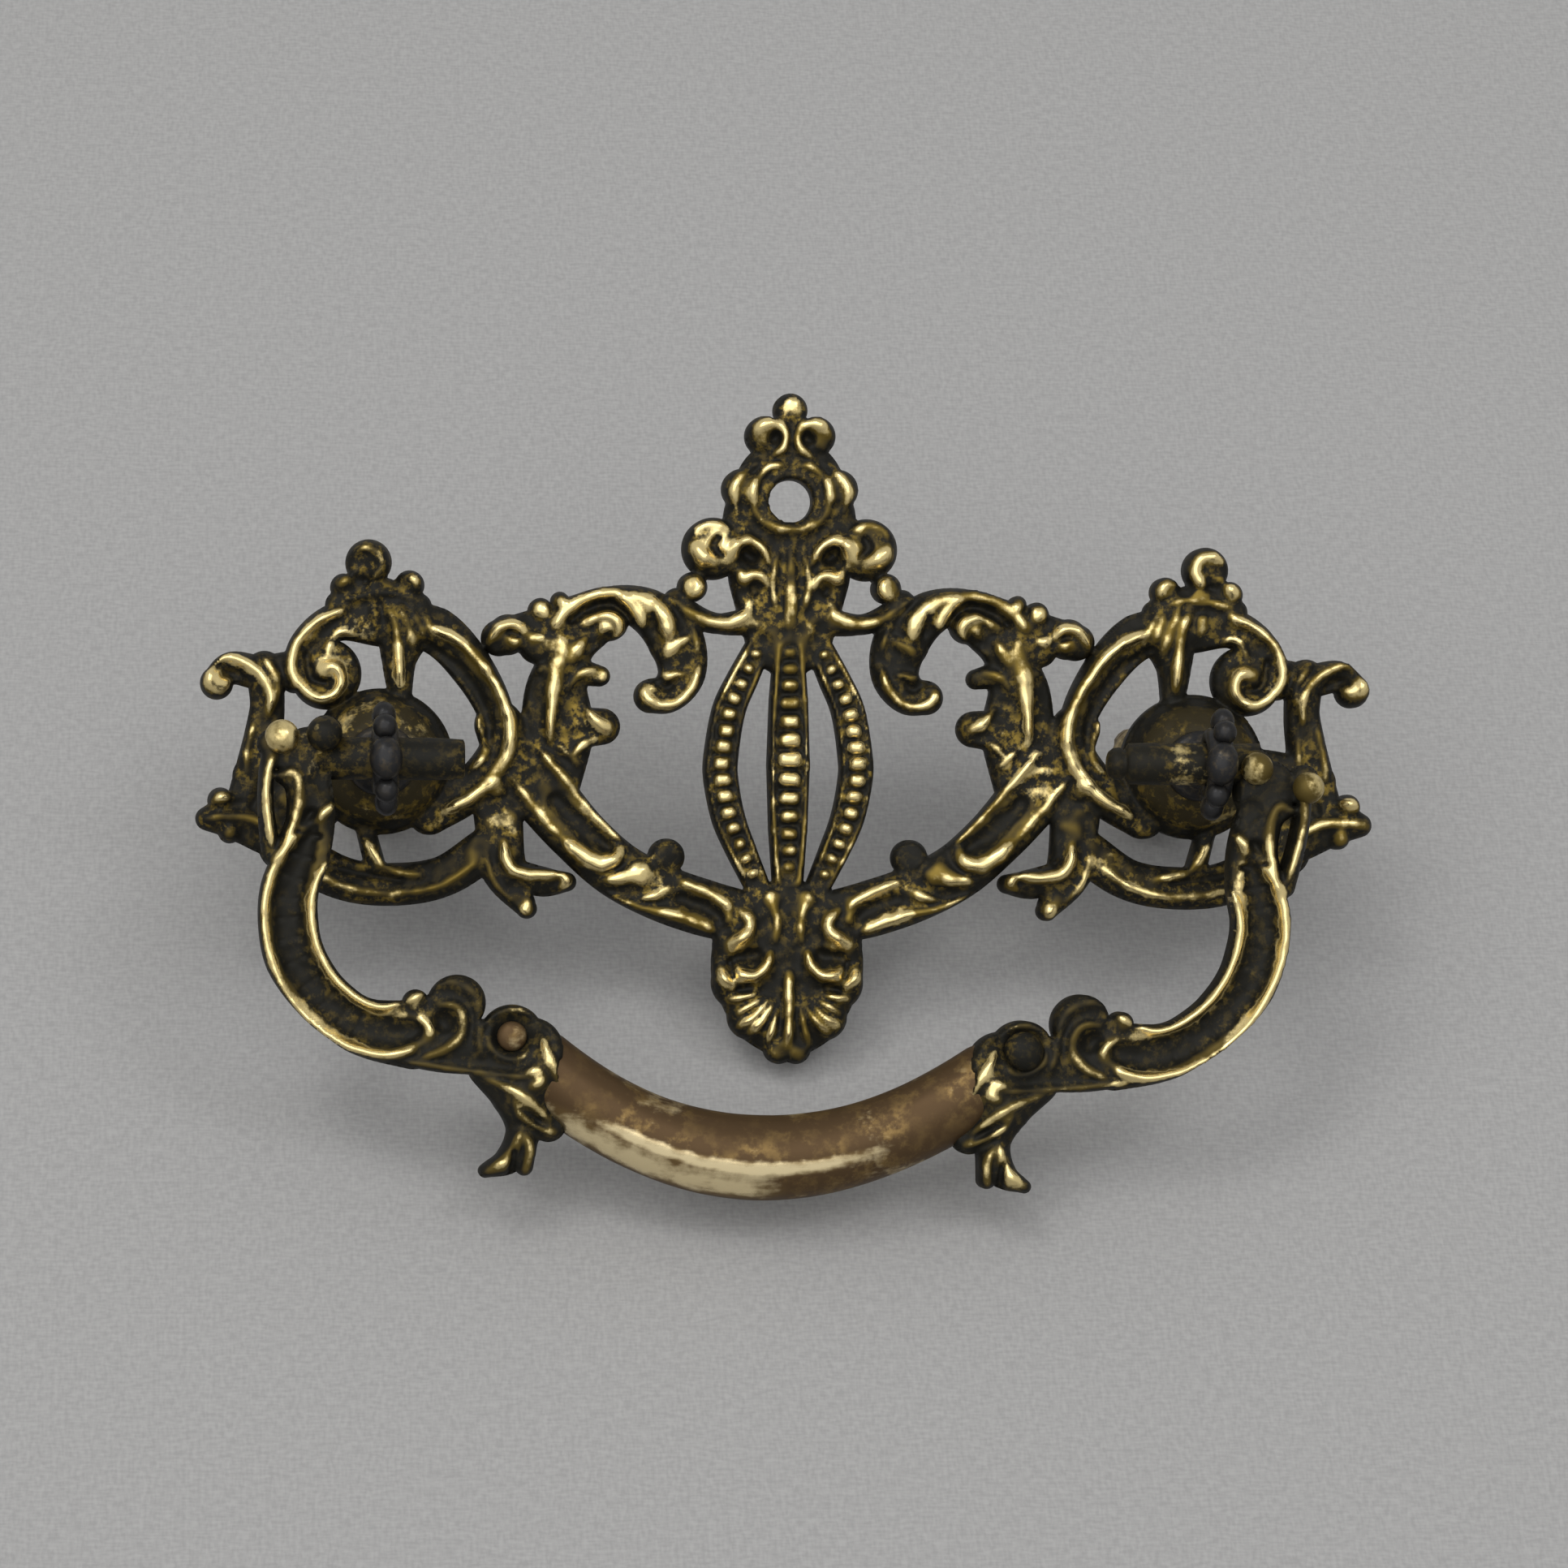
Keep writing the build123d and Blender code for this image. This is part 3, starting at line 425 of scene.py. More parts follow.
# Cuts that part one lobe from the next: depth, and points of x, z and width
cuts = [
    (0.8, [(1.7, 30.4, 1.4), (1.5, 30.5, 1.4)]),
    (0.6, [(6.9, 21, 0.9), (7.3, 20.2, 1.1), (6.5, 19.4, 0.7)]),
    (0.8, [(4.2, 19.6, 1.5), (3.6, 19.2, 1.5)]),
    (0.5, [(3.5, 16.4, 1), (3.3, 16, 1)]),
    (0.7, [(20.4, 13.2, 1), (18.4, 14.6, 1.3), (16.4, 14.7, 1.2), (14.9, 13.3, 0.6)]),
    (0.5, [(12.9, 14, 0.7), (12.6, 12.2, 0.6)]),
    (0.5, [(13.6, 8, 0.5), (11.6, 7, 0.9), (10.6, 8, 0.6)]),
    (0.5, [(17, 12, 0.9), (17.6, 11.4, 0.8)]),
    (0.6, [(21.8, -3.6, 1.8), (19, -6.4, 2.2), (16.8, -8, 1.2)]),
    (0.5, [(10.2, -12.6, 1.5), (8, -13.4, 1.6), (6.4, -14.3, 1.2)]),
    (0.6, [(3.2, -17.8, 1.6), (4.8, -18, 1.2)]),
    (0.6, [(5.5, -18.4, 0.6), (5.2, -19.8, 0.6)]),
    (0.6, [(3.6, -20.8, 1), (4.8, -21.1, 0.8)]),
]
wing_cuts = [
    (0.5, [(-4, 11, 1), (-7.4, 8.6, 1.4), (-9.8, 4.6, 1.4), (-10, 1.6, 0.8)]),
    (0.6, [(6.9, 9.8, 0.8), (6.4, 7.6, 0.9), (5, 7.2, 0.7)]),
    (0.6, [(1.3, 17.4, 1.1), (1.4, 16.9, 1.1)]),
    (0.5, [(14.4, 8, 1.2), (13.2, 8, 1), (12.2, 7, 0.6)]),
    (0.5, [(-11.9, 12.1, 0.9), (-12.5, 11.8, 0.9)]),
    (0.5, [(-12.8, -9, 0.5), (-14.6, -9.6, 0.7), (-16, -9.6, 0.5)]),
    (0.4, [(6, -9.4, 0.8), (2, -10.4, 1), (-2, -11, 0.6)]),
    (0.4, [(11, -2, 1.2), (11.8, -4.4, 1)]),
]

half = Casting((0, -30), (57, 36), plate_step)
for points in [side_strap] + limbs + [wing(points) for points in wing_limbs]:
    half.scroll(points, plate_level, plate_crown)
for x, z, radius, ball_share in lobes + [(post_x + x, *rest) for x, *rest in wing_lobes]:
    half.scroll([(x, z, 2 * radius)], plate_level, plate_crown + ball_share * radius * 0.6)
# The crests are finer on the crown and the palmette than on the scrolls further out
crest_lift, fine_width, broad_width, fine_reach = 1.1, 1.12, 1.35, 9
for height, points in crests + [(height, wing(points)) for height, points in wing_crests]:
    widening = broad_width if points[0][0] > fine_reach else fine_width
    half.ridge(np.array(points) * (1, 1, widening), height * crest_lift)
for depth, points in cuts + [(depth, wing(points)) for depth, points in wing_cuts]:
    half.groove(points, depth)

# Beaded straps: a row of drops between two rims on each, largest in the middle
strap_line, _ = flowing(side_strap, 30)
strap_way = headings(strap_line)
strap_side = np.stack([-strap_way[:, 1], strap_way[:, 0]], 1)
half.groove(even(strap_line[::6], 1.9), 0.45)
strap_half = np.interp(strap_line[:, 1], (-11.5, -5, 5, 11.5), (0.85, 1.3, 1.3, 0.85))[:, None]
half.ridge(even((strap_line + strap_side * strap_half)[12:-12:6], 0.6), 0.55)
half.ridge(even((strap_line - strap_side * strap_half)[18:-18:6], 0.5), 0.5)
strap_run = np.insert(np.cumsum(np.linalg.norm(np.diff(strap_line, axis=0), axis=1)), 0, 0)
side_beads = 15
for i in range(side_beads):
    run = (i + 0.9) / (side_beads + 0.8) * strap_run[-1]
    spot = [np.interp(run, strap_run, strap_line[:, k]) for k in (0, 1)]
    way = [np.interp(run, strap_run, strap_way[:, k]) for k in (0, 1)]
    size = 1.66 - 0.8 * abs(2 * i / (side_beads - 1) - 1) ** 1.5
    half.pillow(spot, way, 0.95 * size, 1.05 * size, 0.75 * size)
half.groove([(0, -10, 2.6), (0, 0, 2.8), (0, 10, 2.6)], 0.5)
half.ridge([(0.95, -11, 0.5), (1.45, -6, 0.6), (1.68, 0, 0.6), (1.45, 6, 0.6), (0.95, 11, 0.5)], 0.6)
middle_beads = 13
for i in range(-(middle_beads // 2), middle_beads // 2 + 1):
    size = 1 - 0.075 * abs(i)
    at = 0.4 + i * 1.86 * (1 - 0.018 * abs(i))
    half.pillow((0, at), (1, 0), 2.45 * size, 1.8 * size, 1.2 * size)


def mirrored(field):
    """The right half's field with its mirror image on the left."""
    return np.hstack([field[:, :0:-1], field])


plate_x = mirrored(half.x[None, :])[0] * np.sign(np.arange(2 * len(half.x) - 1) - len(half.x) + 1)
inside = mirrored(half.inside)
height = softened(mirrored(half.body + half.rise - half.sink), 0.5)
x_grid, z_grid = np.meshgrid(plate_x, half.z)
# A domed boss round each post, with a flat seat for the post's collar, a soft edge and a round flank
boss_radius = 6.8
seat_radius, edge_width, edge_drop = 3.2, 1.2, 0.35
flank_from, flank_width, flank_drop, flank_bend = 3.4, 3.1, 3.4, 2.1
from_post = np.hypot(np.abs(x_grid) - post_x, z_grid)
edge = edge_drop * np.clip((from_post - seat_radius) / edge_width, 0, 1)
flank = flank_drop * np.clip((from_post - flank_from) / flank_width, 0, 1) ** flank_bend
on_boss = from_post < boss_radius + 0.2
height = np.where(on_boss, np.maximum(height, boss_front - edge - flank), height)
inside = np.maximum(inside, boss_radius - from_post)
# The pin's hole in the crown, with a raised collar
hole_z, hole_radius, collar_radius, collar_width, collar_height = 24.6, 2.0, 2.5, 0.55, 0.35
from_hole = np.hypot(x_grid, z_grid - hole_z)
height += collar_height * np.clip(1 - ((from_hole - collar_radius) / collar_width) ** 2, 0, 1)
inside = np.minimum(inside, from_hole - hole_radius)
height += roughcast(height.shape, 4, 0.05)
proud = proudness(height, inside)
# The bosses behind the eyes are out of reach of the polishing cloth. Some places were rubbed less or more
proud = np.where(on_boss, np.minimum(proud, 0.02), proud)
rub(proud, x_grid, z_grid, [
    (-38, 17, 5, -0.45), (-54, -4, 6, -0.25), (-46, 10, 4, -0.05), (12, 9.5, 5, -0.25), (-21, 4, 4, -0.15),
    (-44, -10, 8, -0.2), (44, -10, 8, -0.2), (48, 8, 5, -0.2), (-18, 14, 5, 0.1), (39.3, 17, 4, 0.15),
    (0, 20, 4, -0.1), (0, 24.6, 3.6, -0.12), (11.4, -8.7, 1.8, -0.5), (-11.4, -8.7, 1.8, -0.5),
    (20, 2, 5, -0.15), (-34, -12, 4, -0.1), (30, 2, 6, 0.05),
])
plate_skin = skin(plate_x, half.z, inside, -height, -plate_wall, 0 * height, 0.0, proud, 4)


def add_node(tree, kind, feeds, **settings):
    """Adds a node with the given settings. Each of its inputs named in feeds takes a value or a link."""
    node = tree.nodes.new(kind)
    for name, value in settings.items():
        setattr(node, name, value)
    for name, what in feeds.items():
        if isinstance(what, bpy.types.NodeSocket):
            tree.links.new(what, node.inputs[name])
        else:
            node.inputs[name].default_value = what
    return node.outputs


def rubbed_brass_group():
    """Darkened brass, rubbed bright where it stands proud. Built once and used by every brass piece."""
    group = bpy.data.node_groups.new("Rubbed brass", "ShaderNodeTree")
    sockets = group.interface
    values = (("Proud", 0.0), ("Rub From", 0.13), ("Rub To", 0.4), ("Speckle Scale", 1100.0),
              ("Streak", 0.0), ("Warmth", 1.0), ("Bare", 0.25), ("Polish", 0.0))
    for name, default in values:
        sockets.new_socket(name, in_out="INPUT", socket_type="NodeSocketFloat").default_value = default
    colours = (("Bright", (0.82, 0.66, 0.31, 1)), ("Tarnish", (0.25, 0.175, 0.04, 1)),
               ("Dark", (0.011, 0.0105, 0.008, 1)))
    for name, default in colours:
        sockets.new_socket(name, in_out="INPUT", socket_type="NodeSocketColor").default_value = default
    for name, kind in (("Colour", "Color"), ("Roughness", "Float"), ("Metal", "Float"), ("Height", "Float")):
        sockets.new_socket(name, in_out="OUTPUT", socket_type="NodeSocket" + kind)
    given = group.nodes.new("NodeGroupInput").outputs
    result = group.nodes.new("NodeGroupOutput").inputs
    place = add_node(group, "ShaderNodeTexCoord", {})["Object"]

    def noise(scale, detail, rough, where=place):
        feeds = {"Vector": where, "Scale": scale, "Detail": detail, "Roughness": rough}
        return add_node(group, "ShaderNodeTexNoise", feeds)["Fac"]

    def ramp(value, low, high, to_low=0.0, to_high=1.0):
        feeds = {"Value": value, "From Min": low, "From Max": high, "To Min": to_low, "To Max": to_high}
        return add_node(group, "ShaderNodeMapRange", feeds, interpolation_type="SMOOTHSTEP")["Result"]

    def calc(operation, first, second):
        return add_node(group, "ShaderNodeMath", {0: first, 1: second}, operation=operation)["Value"]

    def swing(value, amount):
        return calc("MULTIPLY", calc("SUBTRACT", value, 0.5), amount)

    def blend(share, first, second):
        feeds = {"Factor": share, "A": first, "B": second}
        return add_node(group, "ShaderNodeMix", feeds, data_type="RGBA")["Result"]

    speckle = noise(given["Speckle Scale"], 5, 0.65)
    blotch = noise(140, 4, 0.6)
    grain = noise(2600, 3, 0.6)
    drawn_out = add_node(group, "ShaderNodeMapping", {"Vector": place, "Scale": (0.09, 1.0, 1.0)})["Vector"]
    scratch = noise(2400, 4, 0.6, drawn_out)
    # Bare metal: what stands proud, unevenly
    uneven = calc("ADD", given["Proud"], swing(speckle, 0.5))
    uneven = calc("ADD", uneven, swing(blotch, 1.5))
    uneven = calc("ADD", uneven, calc("MULTIPLY", swing(scratch, 1.0), given["Streak"]))
    bright = ramp(uneven, given["Rub From"], given["Rub To"])
    # Olive tarnish: speckles in the dark coating, fewer on the back, and a rim round the bare metal
    warm = calc("MULTIPLY", ramp(speckle, 0.46, 0.66), ramp(blotch, 0.38, 0.62, 0.15, 1.0))
    warm = calc("MULTIPLY", warm, ramp(given["Proud"], -0.25, -0.1, 0.2, 1.0))
    warm = calc("MAXIMUM", warm, ramp(given["Proud"], -0.05, 0.3, 0.0, 0.8))
    warm = calc("MULTIPLY", warm, given["Warmth"])
    ground = blend(warm, given["Dark"], given["Tarnish"])
    link = group.links.new
    link(blend(bright, ground, given["Bright"]), result["Colour"])
    rough = calc("ADD", ramp(bright, 0.0, 1.0, 0.52, 0.27), swing(speckle, 0.25))
    link(calc("SUBTRACT", rough, given["Polish"]), result["Roughness"])
    link(ramp(calc("MAXIMUM", bright, warm), 0.0, 0.8, given["Bare"], 1.0), result["Metal"])
    pits = calc("ADD", calc("MULTIPLY", speckle, 0.6), calc("MULTIPLY", grain, 0.25))
    pits = calc("ADD", pits, calc("MULTIPLY", scratch, given["Streak"]))
    link(calc("MULTIPLY", pits, ramp(bright, 0.0, 1.0, 1.0, 0.35)), result["Height"])
    return group


rubbed_brass = rubbed_brass_group()


def brass(name, bump=0.4, **values):
    """A brass finish: the rubbed brass group, with its own values, on a metal shader."""
    made = bpy.data.materials.new(name)
    made.use_nodes = True
    tree = made.node_tree
    shader = tree.nodes["Principled BSDF"].inputs
    feeds = {key.replace("_", " ").title(): value for key, value in values.items()}
    feeds["Proud"] = add_node(tree, "ShaderNodeAttribute", {}, attribute_name="proud")["Fac"]
    finish = add_node(tree, "ShaderNodeGroup", feeds, node_tree=rubbed_brass)
    pitting = {"Strength": bump, "Distance": 0.0001, "Height": finish["Height"]}
    relief = add_node(tree, "ShaderNodeBump", pitting)
    tree.links.new(finish["Colour"], shader["Base Color"])
    tree.links.new(finish["Roughness"], shader["Roughness"])
    tree.links.new(finish["Metal"], shader["Metallic"])
    tree.links.new(relief["Normal"], shader["Normal"])
    shader["Specular IOR Level"].default_value = 0.14
    return made


plate = piece("plate_casting", *plate_skin, brass("plate_brass"))
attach(plate, "fixed_parts")
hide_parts("backplate")

# Posts. Two turned brass bolts. Each has a collar that clamps the plate on its boss, a flat eye set with
# beads that the bail's pin runs in, and a shank threaded at its end. They are dull and hardly rubbed.

ROUND = 48
turn = np.arange(ROUND) * 2 * pi / ROUND
shank_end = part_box("right_post")[1].y / MM
eye_y = -16.0
thread_pitch = 0.7


def tube_faces(rings, closed=False):
    """Faces between rings of ROUND points each, and over both ends unless the last ring meets the first."""
    faces = []
    for i in range(rings if closed else rings - 1):
        a, b = i * ROUND, (i + 1) % rings * ROUND
        faces += [[a + k, a + (k + 1) % ROUND, b + (k + 1) % ROUND, b + k] for k in range(ROUND)]
    if not closed:
        faces.append(list(range(ROUND))[::-1])
        faces.append([(rings - 1) * ROUND + k for k in range(ROUND)])
    return faces


def turned(rows, closed=False):
    """Points and faces of a turned form. Each row gives y and the radius, one value or one for each point."""
    rings = [np.stack([radius * np.cos(turn), y + 0 * turn, radius * np.sin(turn)], 1) for y, radius in rows]
    return np.vstack(rings), tube_faces(len(rows), closed)


def joined(*forms):
    """Several forms as one list of points and one of faces."""
    points, faces = [], []
    for form_points, form_faces in forms:
        start = sum(len(p) for p in points)
        points.append(np.asarray(form_points))
        faces += [[i + start for i in face] for face in form_faces]
    return np.vstack(points), faces


def sharpness(points, faces, passes, strength):
    """How proud each point of a form stands, from how sharply the surface bends there."""
    mesh = bpy.data.meshes.new("trial")
    mesh.from_pydata(np.asarray(points).tolist(), [], faces)
    normal = np.empty(len(points) * 3)
    mesh.vertices.foreach_get("normal", normal)
    normal = normal.reshape(-1, 3)
    edge = np.empty(len(mesh.edges) * 2, int)
    mesh.edges.foreach_get("vertices", edge)
    a, b = edge.reshape(-1, 2).T
    bpy.data.meshes.remove(mesh)
    gap = np.asarray(points)[a] - np.asarray(points)[b]
    span = np.maximum((gap**2).sum(1), 1e-4)
    bend = np.bincount(a, (normal[a] * gap).sum(1) / span, len(points))
    bend -= np.bincount(b, (normal[b] * gap).sum(1) / span, len(points))
    count = np.maximum(np.bincount(np.append(a, b), minlength=len(points)), 1)
    bend /= count
    for _ in range(passes):
        around = np.bincount(a, bend[b], len(points)) + np.bincount(b, bend[a], len(points))
        bend = (bend + around / count) / 2
    return bend * strength


def threaded(y_from, y_to, crest, root):
    """Rows of a screw thread between two places on the shank."""
    rows = []
    for y in np.arange(y_from, y_to, thread_pitch / 8):
        wound = (y / thread_pitch - turn / (2 * pi)) % 1
        fade = np.clip(min(y - y_from, y_to - y) / thread_pitch, 0, 1)
        rows.append((y, crest - (crest - root) * fade * np.abs(2 * wound - 1)))
    return rows


def ball(centre, half_sizes, rings=12):
    """A round bead, as points and faces."""
    points, faces = turned([(-cos(pi * k / rings), sin(pi * k / rings)) for k in range(1, rings)])
    return points * np.array(half_sizes) + np.array(centre), faces


# From the eye to the shank's end: neck, collar on the boss, journal, plain shank, thread and rounded end
post_rows = [(-13.0, 1.9), (-12.2, 1.75), (-11, 1.65), (-9.6, 1.7), (-8.9, 1.9), (-8.7, 2.2), (-8.3, 2.25)]
post_rows += [(-8.0, 2.0), (-7.6, 1.95), (-7.2, 2.3), (-6.95, 2.9), (-6.75, 3.2), (-6.5, 3.3), (-5.85, 3.3)]
post_rows += [(-5.65, 3.2), (-5.6, 2.4), (0, 2.4), (0.05, 2.1), (8, 2.1), (16.9, 2.1), (17.0, 1.95)]
post_rows += threaded(17.1, shank_end - 0.5, 1.94, 1.66) + [(shank_end - 0.4, 1.7), (shank_end, 1.4)]
shank = turned(post_rows)
# The eye: a flat ring about the pin, as a closed profile of x and radius turned about the pin's axis
eye_profile = [(-0.95, 2.02), (0, 2.0), (0.95, 2.02), (1.16, 2.2), (1.2, 2.7), (1.08, 3.1), (0.7, 3.35)]
eye_profile += [(0, 3.42), (-0.7, 3.35), (-1.08, 3.1), (-1.2, 2.7), (-1.16, 2.2)]
eye_points, eye_faces = turned(eye_profile, closed=True)
eye_points = np.stack([eye_points[:, 1], eye_points[:, 0] + eye_y, eye_points[:, 2]], 1)
beads = [ball((0, eye_y - 3.3, 0), (1.5, 1.3, 2.0))]
for up in (1, -1):
    beads.append(ball((0, eye_y - 0.2, up * 3.9), (1.1, 1.3, 1.3)))
    beads.append(ball((0, eye_y - 2.4, up * 2.9), (1.1, 1.1, 1.15)))
    beads.append(ball((0, eye_y + 2.3, up * 2.5), (1.0, 0.8, 0.8)))
bead_points, bead_faces = joined(*beads)
post_brass = brass("post_brass", rub_from=0.05, rub_to=0.8, warmth=0.5, bare=0.6, polish=0.18,
                   bright=(0.62, 0.56, 0.44, 1), tarnish=(0.11, 0.085, 0.05, 1),
                   dark=(0.025, 0.025, 0.026, 1))
# The right eye's beads sit the most askew
for name, side, twist in (("left_post", -1, -2), ("right_post", 1, 7)):
    twisted = bead_points @ np.array(Matrix.Rotation(radians(twist), 3, "Y")).T
    post_points, post_faces = joined(shank, (eye_points, eye_faces), (twisted, bead_faces))
    post_points = post_points + (side * post_x, 0, 0)
    post_stands = sharpness(post_points, post_faces, 2, 0.35) - 0.05
    post = piece(name + "_turned", post_points, post_faces, post_stands, post_brass, crisp=50)
    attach(post, "fixed_parts")
    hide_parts(name)

# Washers and nuts, in brass. On each shank a thin stamped washer and a square nut with blunted corners
# clamp the pull behind the drawer front. They are plain and dulled, with lighter edges.

washer_low, washer_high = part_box("right_washer")
washer_front, washer_back = washer_low.y / MM, washer_high.y / MM
nut_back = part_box("right_nut")[1].y / MM
washer_rows = [(washer_front + 0.1, 2.2), (washer_front, 2.35), (washer_front, 3.6), (washer_front, 4.75)]
washer_rows += [(washer_front + 0.12, 4.95), (washer_back - 0.15, 5), (washer_back, 4.85)]
washer_rows += [(washer_back, 3.6), (washer_back, 2.4), (washer_back - 0.1, 2.2)]
nut_half, nut_corner, nut_slope_from = 4, 5.1, 3.9
square = nut_half / np.maximum(np.abs(np.cos(turn)), np.abs(np.sin(turn)))
edge = np.minimum(square, nut_corner)
nut_rows = [(washer_back, 2.1), (washer_back, edge * 0.75), (washer_back, edge - 0.15)]
nut_rows.append((washer_back + 0.15, edge))
for drop, share in ((0.35, 1.0), (0, 0.93), (0, 0.75)):
    slope = 0.5 * np.clip(edge * share - nut_slope_from, 0, 2)
    nut_rows.append((nut_back - drop - slope, edge * share))
nut_rows += [(nut_back, 2.5), (nut_back - 0.25, 2.05)]
for kind, rows in (("washer", washer_rows), ("nut", nut_rows)):
    form_points, form_faces = turned(rows, closed=True)
    form_stands = sharpness(form_points, form_faces, 0, 0.1)
    finish = brass(kind + "_brass", rub_from=-0.2, rub_to=0.5, bright=(0.72, 0.6, 0.36, 1),
                   tarnish=(0.3, 0.22, 0.1, 1), dark=(0.1, 0.075, 0.04, 1))
    for word, side in (("left", -1), ("right", 1)):
        moved = form_points + (side * post_x, 0, 0)
        fastener = piece(f"{word}_{kind}_stamped", moved, form_faces, form_stands, finish, crisp=30)
        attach(fastener, "fixed_parts")
        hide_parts(f"{word}_{kind}")

# Bail. The handle, cast in brass in one piece with the two pins that run in the posts' eyes. Its arms are
# scrolls with a fluted channel, and the round grip between the claws is worn smooth and bright below, with a
# narrow painted highlight along it.

bail_slide, bail_lean, bail_sag = -1.2, 0.08, 0.028
arm_level, arm_crown, arm_wall = 1.4, 0.5, 1.15
# The right arm's limbs, cuts and raised lines, all from the post's axis
channel = [(5.4, -3, 3.8), (4.9, -6.4, 4.2), (5.4, -9.8, 5), (6.3, -13, 5.3), (6.2, -16, 5.4),
    (5.3, -19.2, 5.4), (3, -22.3, 5), (0.2, -24.5, 4.9), (-2.2, -25.5, 5.3), (-6.1, -25.9, 6.2)]
arm_limbs = [
    [(-4.1, -26.6, 3.6), (-8.6, -27, 4.4), (-13.1, -26.8, 5.2), (-16.6, -27, 6)],
    [(-13.3, -28.4, 4.4), (-15.7, -31, 4.4), (-16.7, -34, 3.2), (-15.7, -36.8, 2.6), (-13.5, -38, 1.2)],
    [(-17.1, -30, 5), (-18.9, -33.6, 3.2)],
    [(-16.9, -34.5, 2.4), (-17, -37.5, 1.6)],
    [(7.2, -10, 1.8), (6.6, -6.8, 1.3), (6.9, -4, 1.2), (8.2, -2.9, 1)],
    [(8.2, -10, 1.8), (9, -6.4, 1.5), (9.3, -3.2, 1.4), (9.1, -1, 1.6)],
]
arm_lobes = [
    (-9.6, -23, 2.65, 0.1), (-5.9, -23, 1.2, 0), (-14.8, -25.8, 2.9, 0.1), (5.7, -1.2, 2.8, 0.1),
    (4.4, 1.1, 1.6, 0.1), (9.1, 0, 1.3, 0.1),
]
arm_crests = [
    # Outer rim from the head down to the end scroll, and inner rim
    (0.9, [(1.9, -2.6, 0.4), (2.7, -5, 0.7), (5.4, -7.6, 0.9), (8, -11.2, 1), (8.5, -15.9, 0.9),
        (7.2, -20.1, 0.9), (4.8, -24, 0.8), (1, -26.7, 0.8), (-3.3, -27.8, 0.8), (-5.8, -27, 0.9),
        (-7.2, -25.6, 1), (-6.5, -24.5, 0.6)]),
    (0.8, [(0.7, -10, 0.4), (3, -10.8, 0.7), (4, -12.7, 0.8), (4.1, -15.3, 0.8), (3.3, -18.2, 0.7),
        (1.6, -20.9, 0.7), (-0.8, -22.8, 0.6), (-3, -23.4, 0.6), (-5, -22.7, 0.5)]),
    # End scroll: its roll and the crescent inside it
    (0.6, [(-4.7, -22.9, 0.7), (-5.9, -22.4, 0.7), (-6.9, -21.3, 1), (-8.7, -20.8, 1.2),
        (-10.7, -21.6, 1.2), (-11.7, -23.4, 1.1), (-11.5, -25.2, 0.6)]),
    (0.7, [(-8, -23, 0.6), (-9.6, -23.2, 0.8), (-10.4, -24.6, 0.9), (-9.9, -26.2, 0.9), (-8.5, -27.3, 0.8),
        (-6.6, -28, 0.4)]),
    # Lower limb and the small curl on it
    (0.6, [(-5, -28.3, 0.4), (-7.5, -28.6, 0.7), (-10.2, -29, 0.8), (-14.3, -29.2, 0.7),
        (-16.2, -29.3, 0.5)]),
    (0.6, [(-16.1, -28.9, 0.6), (-17.2, -28.8, 0.7), (-17.6, -29.7, 0.7), (-16.8, -30.2, 0.6)]),
    # Leaf lines and toes of the claw
    (0.8, [(-12.3, -29.5, 0.5), (-14.4, -30.2, 0.7), (-16.6, -31.4, 0.9), (-18.8, -33.2, 0.5)]),
    (0.8, [(-15.4, -31.4, 0.5), (-16.8, -33.1, 0.9), (-19.4, -34.4, 0.6)]),
    (0.9, [(-16.4, -34, 0.6), (-15.6, -36.4, 1.3), (-14, -37.8, 1.1)]),
    (0.9, [(-16.6, -34.2, 0.6), (-17.4, -36, 1.1), (-17.1, -37.8, 0.9)]),
    # Volute: its roll, its crescent and the leaf edge that laps the grip
    (0.6, [(-12.3, -27.6, 0.5), (-11.8, -25.6, 0.9), (-12.6, -23.8, 1), (-14.6, -23.1, 1), (-17, -23.6, 1),
        (-18.8, -25.6, 0.6)]),
    (0.6, [(-12.9, -24.9, 0.6), (-12.8, -26.3, 0.9), (-13.8, -27.4, 0.9), (-15.4, -27.6, 0.8),
        (-16.5, -26.6, 0.4)]),
    (0.9, [(-17.4, -25.6, 0.5), (-18.7, -28, 0.9), (-19.6, -29.6, 1.1), (-20.4, -31.2, 0.7)]),
    # Thorn, outer curl and inner edge of the head
    (0.8, [(8.1, -2.8, 0.8), (6.9, -2.7, 0.9), (6.3, -3.8, 0.9), (6.2, -5.6, 0.9), (6.7, -8, 0.8),
        (7.4, -9.8, 0.4)]),
    (0.8, [(8.8, -1.3, 0.8), (9.2, -3.2, 0.9), (8.9, -6.2, 0.8), (8.2, -9.4, 0.5)]),
]
arm_cuts = [
    (0.9, [(4.9, -6.4, 1.6), (5.4, -9.8, 2.6), (6.3, -13, 3.2), (6.2, -16, 3.4), (5.3, -19.2, 3.4),
        (3, -22.3, 3.2), (0.2, -24.5, 3.2), (-2.2, -25.5, 3.4), (-6.1, -25.9, 3)]),
    (0.6, [(-8.4, -24.6, 2.2), (-8.6, -24.7, 2.2)]),
    (0.4, [(-6.2, -25.8, 1.2), (-6.3, -25.9, 1.2)]),
    (0.9, [(-15.9, -36, 0.5), (-15.8, -38.4, 0.8)]),
    (0.6, [(-14.8, -25.7, 4.2), (-14.8, -25.8, 4.2)]),
    (0.5, [(-16, -32.2, 0.5), (-18.6, -33.9, 0.6)]),
    (0.5, [(-18.2, -26.4, 0.6), (-19.8, -29, 0.8), (-21, -31.5, 0.8)]),
    (0.5, [(7.6, -4.4, 0.9), (7.4, -7, 0.9)]),
    (0.4, [(3.4, -4.4, 2), (4.4, -3, 2.4)]),
]
arm = Casting((14, -41), (51, 5), 0.2)
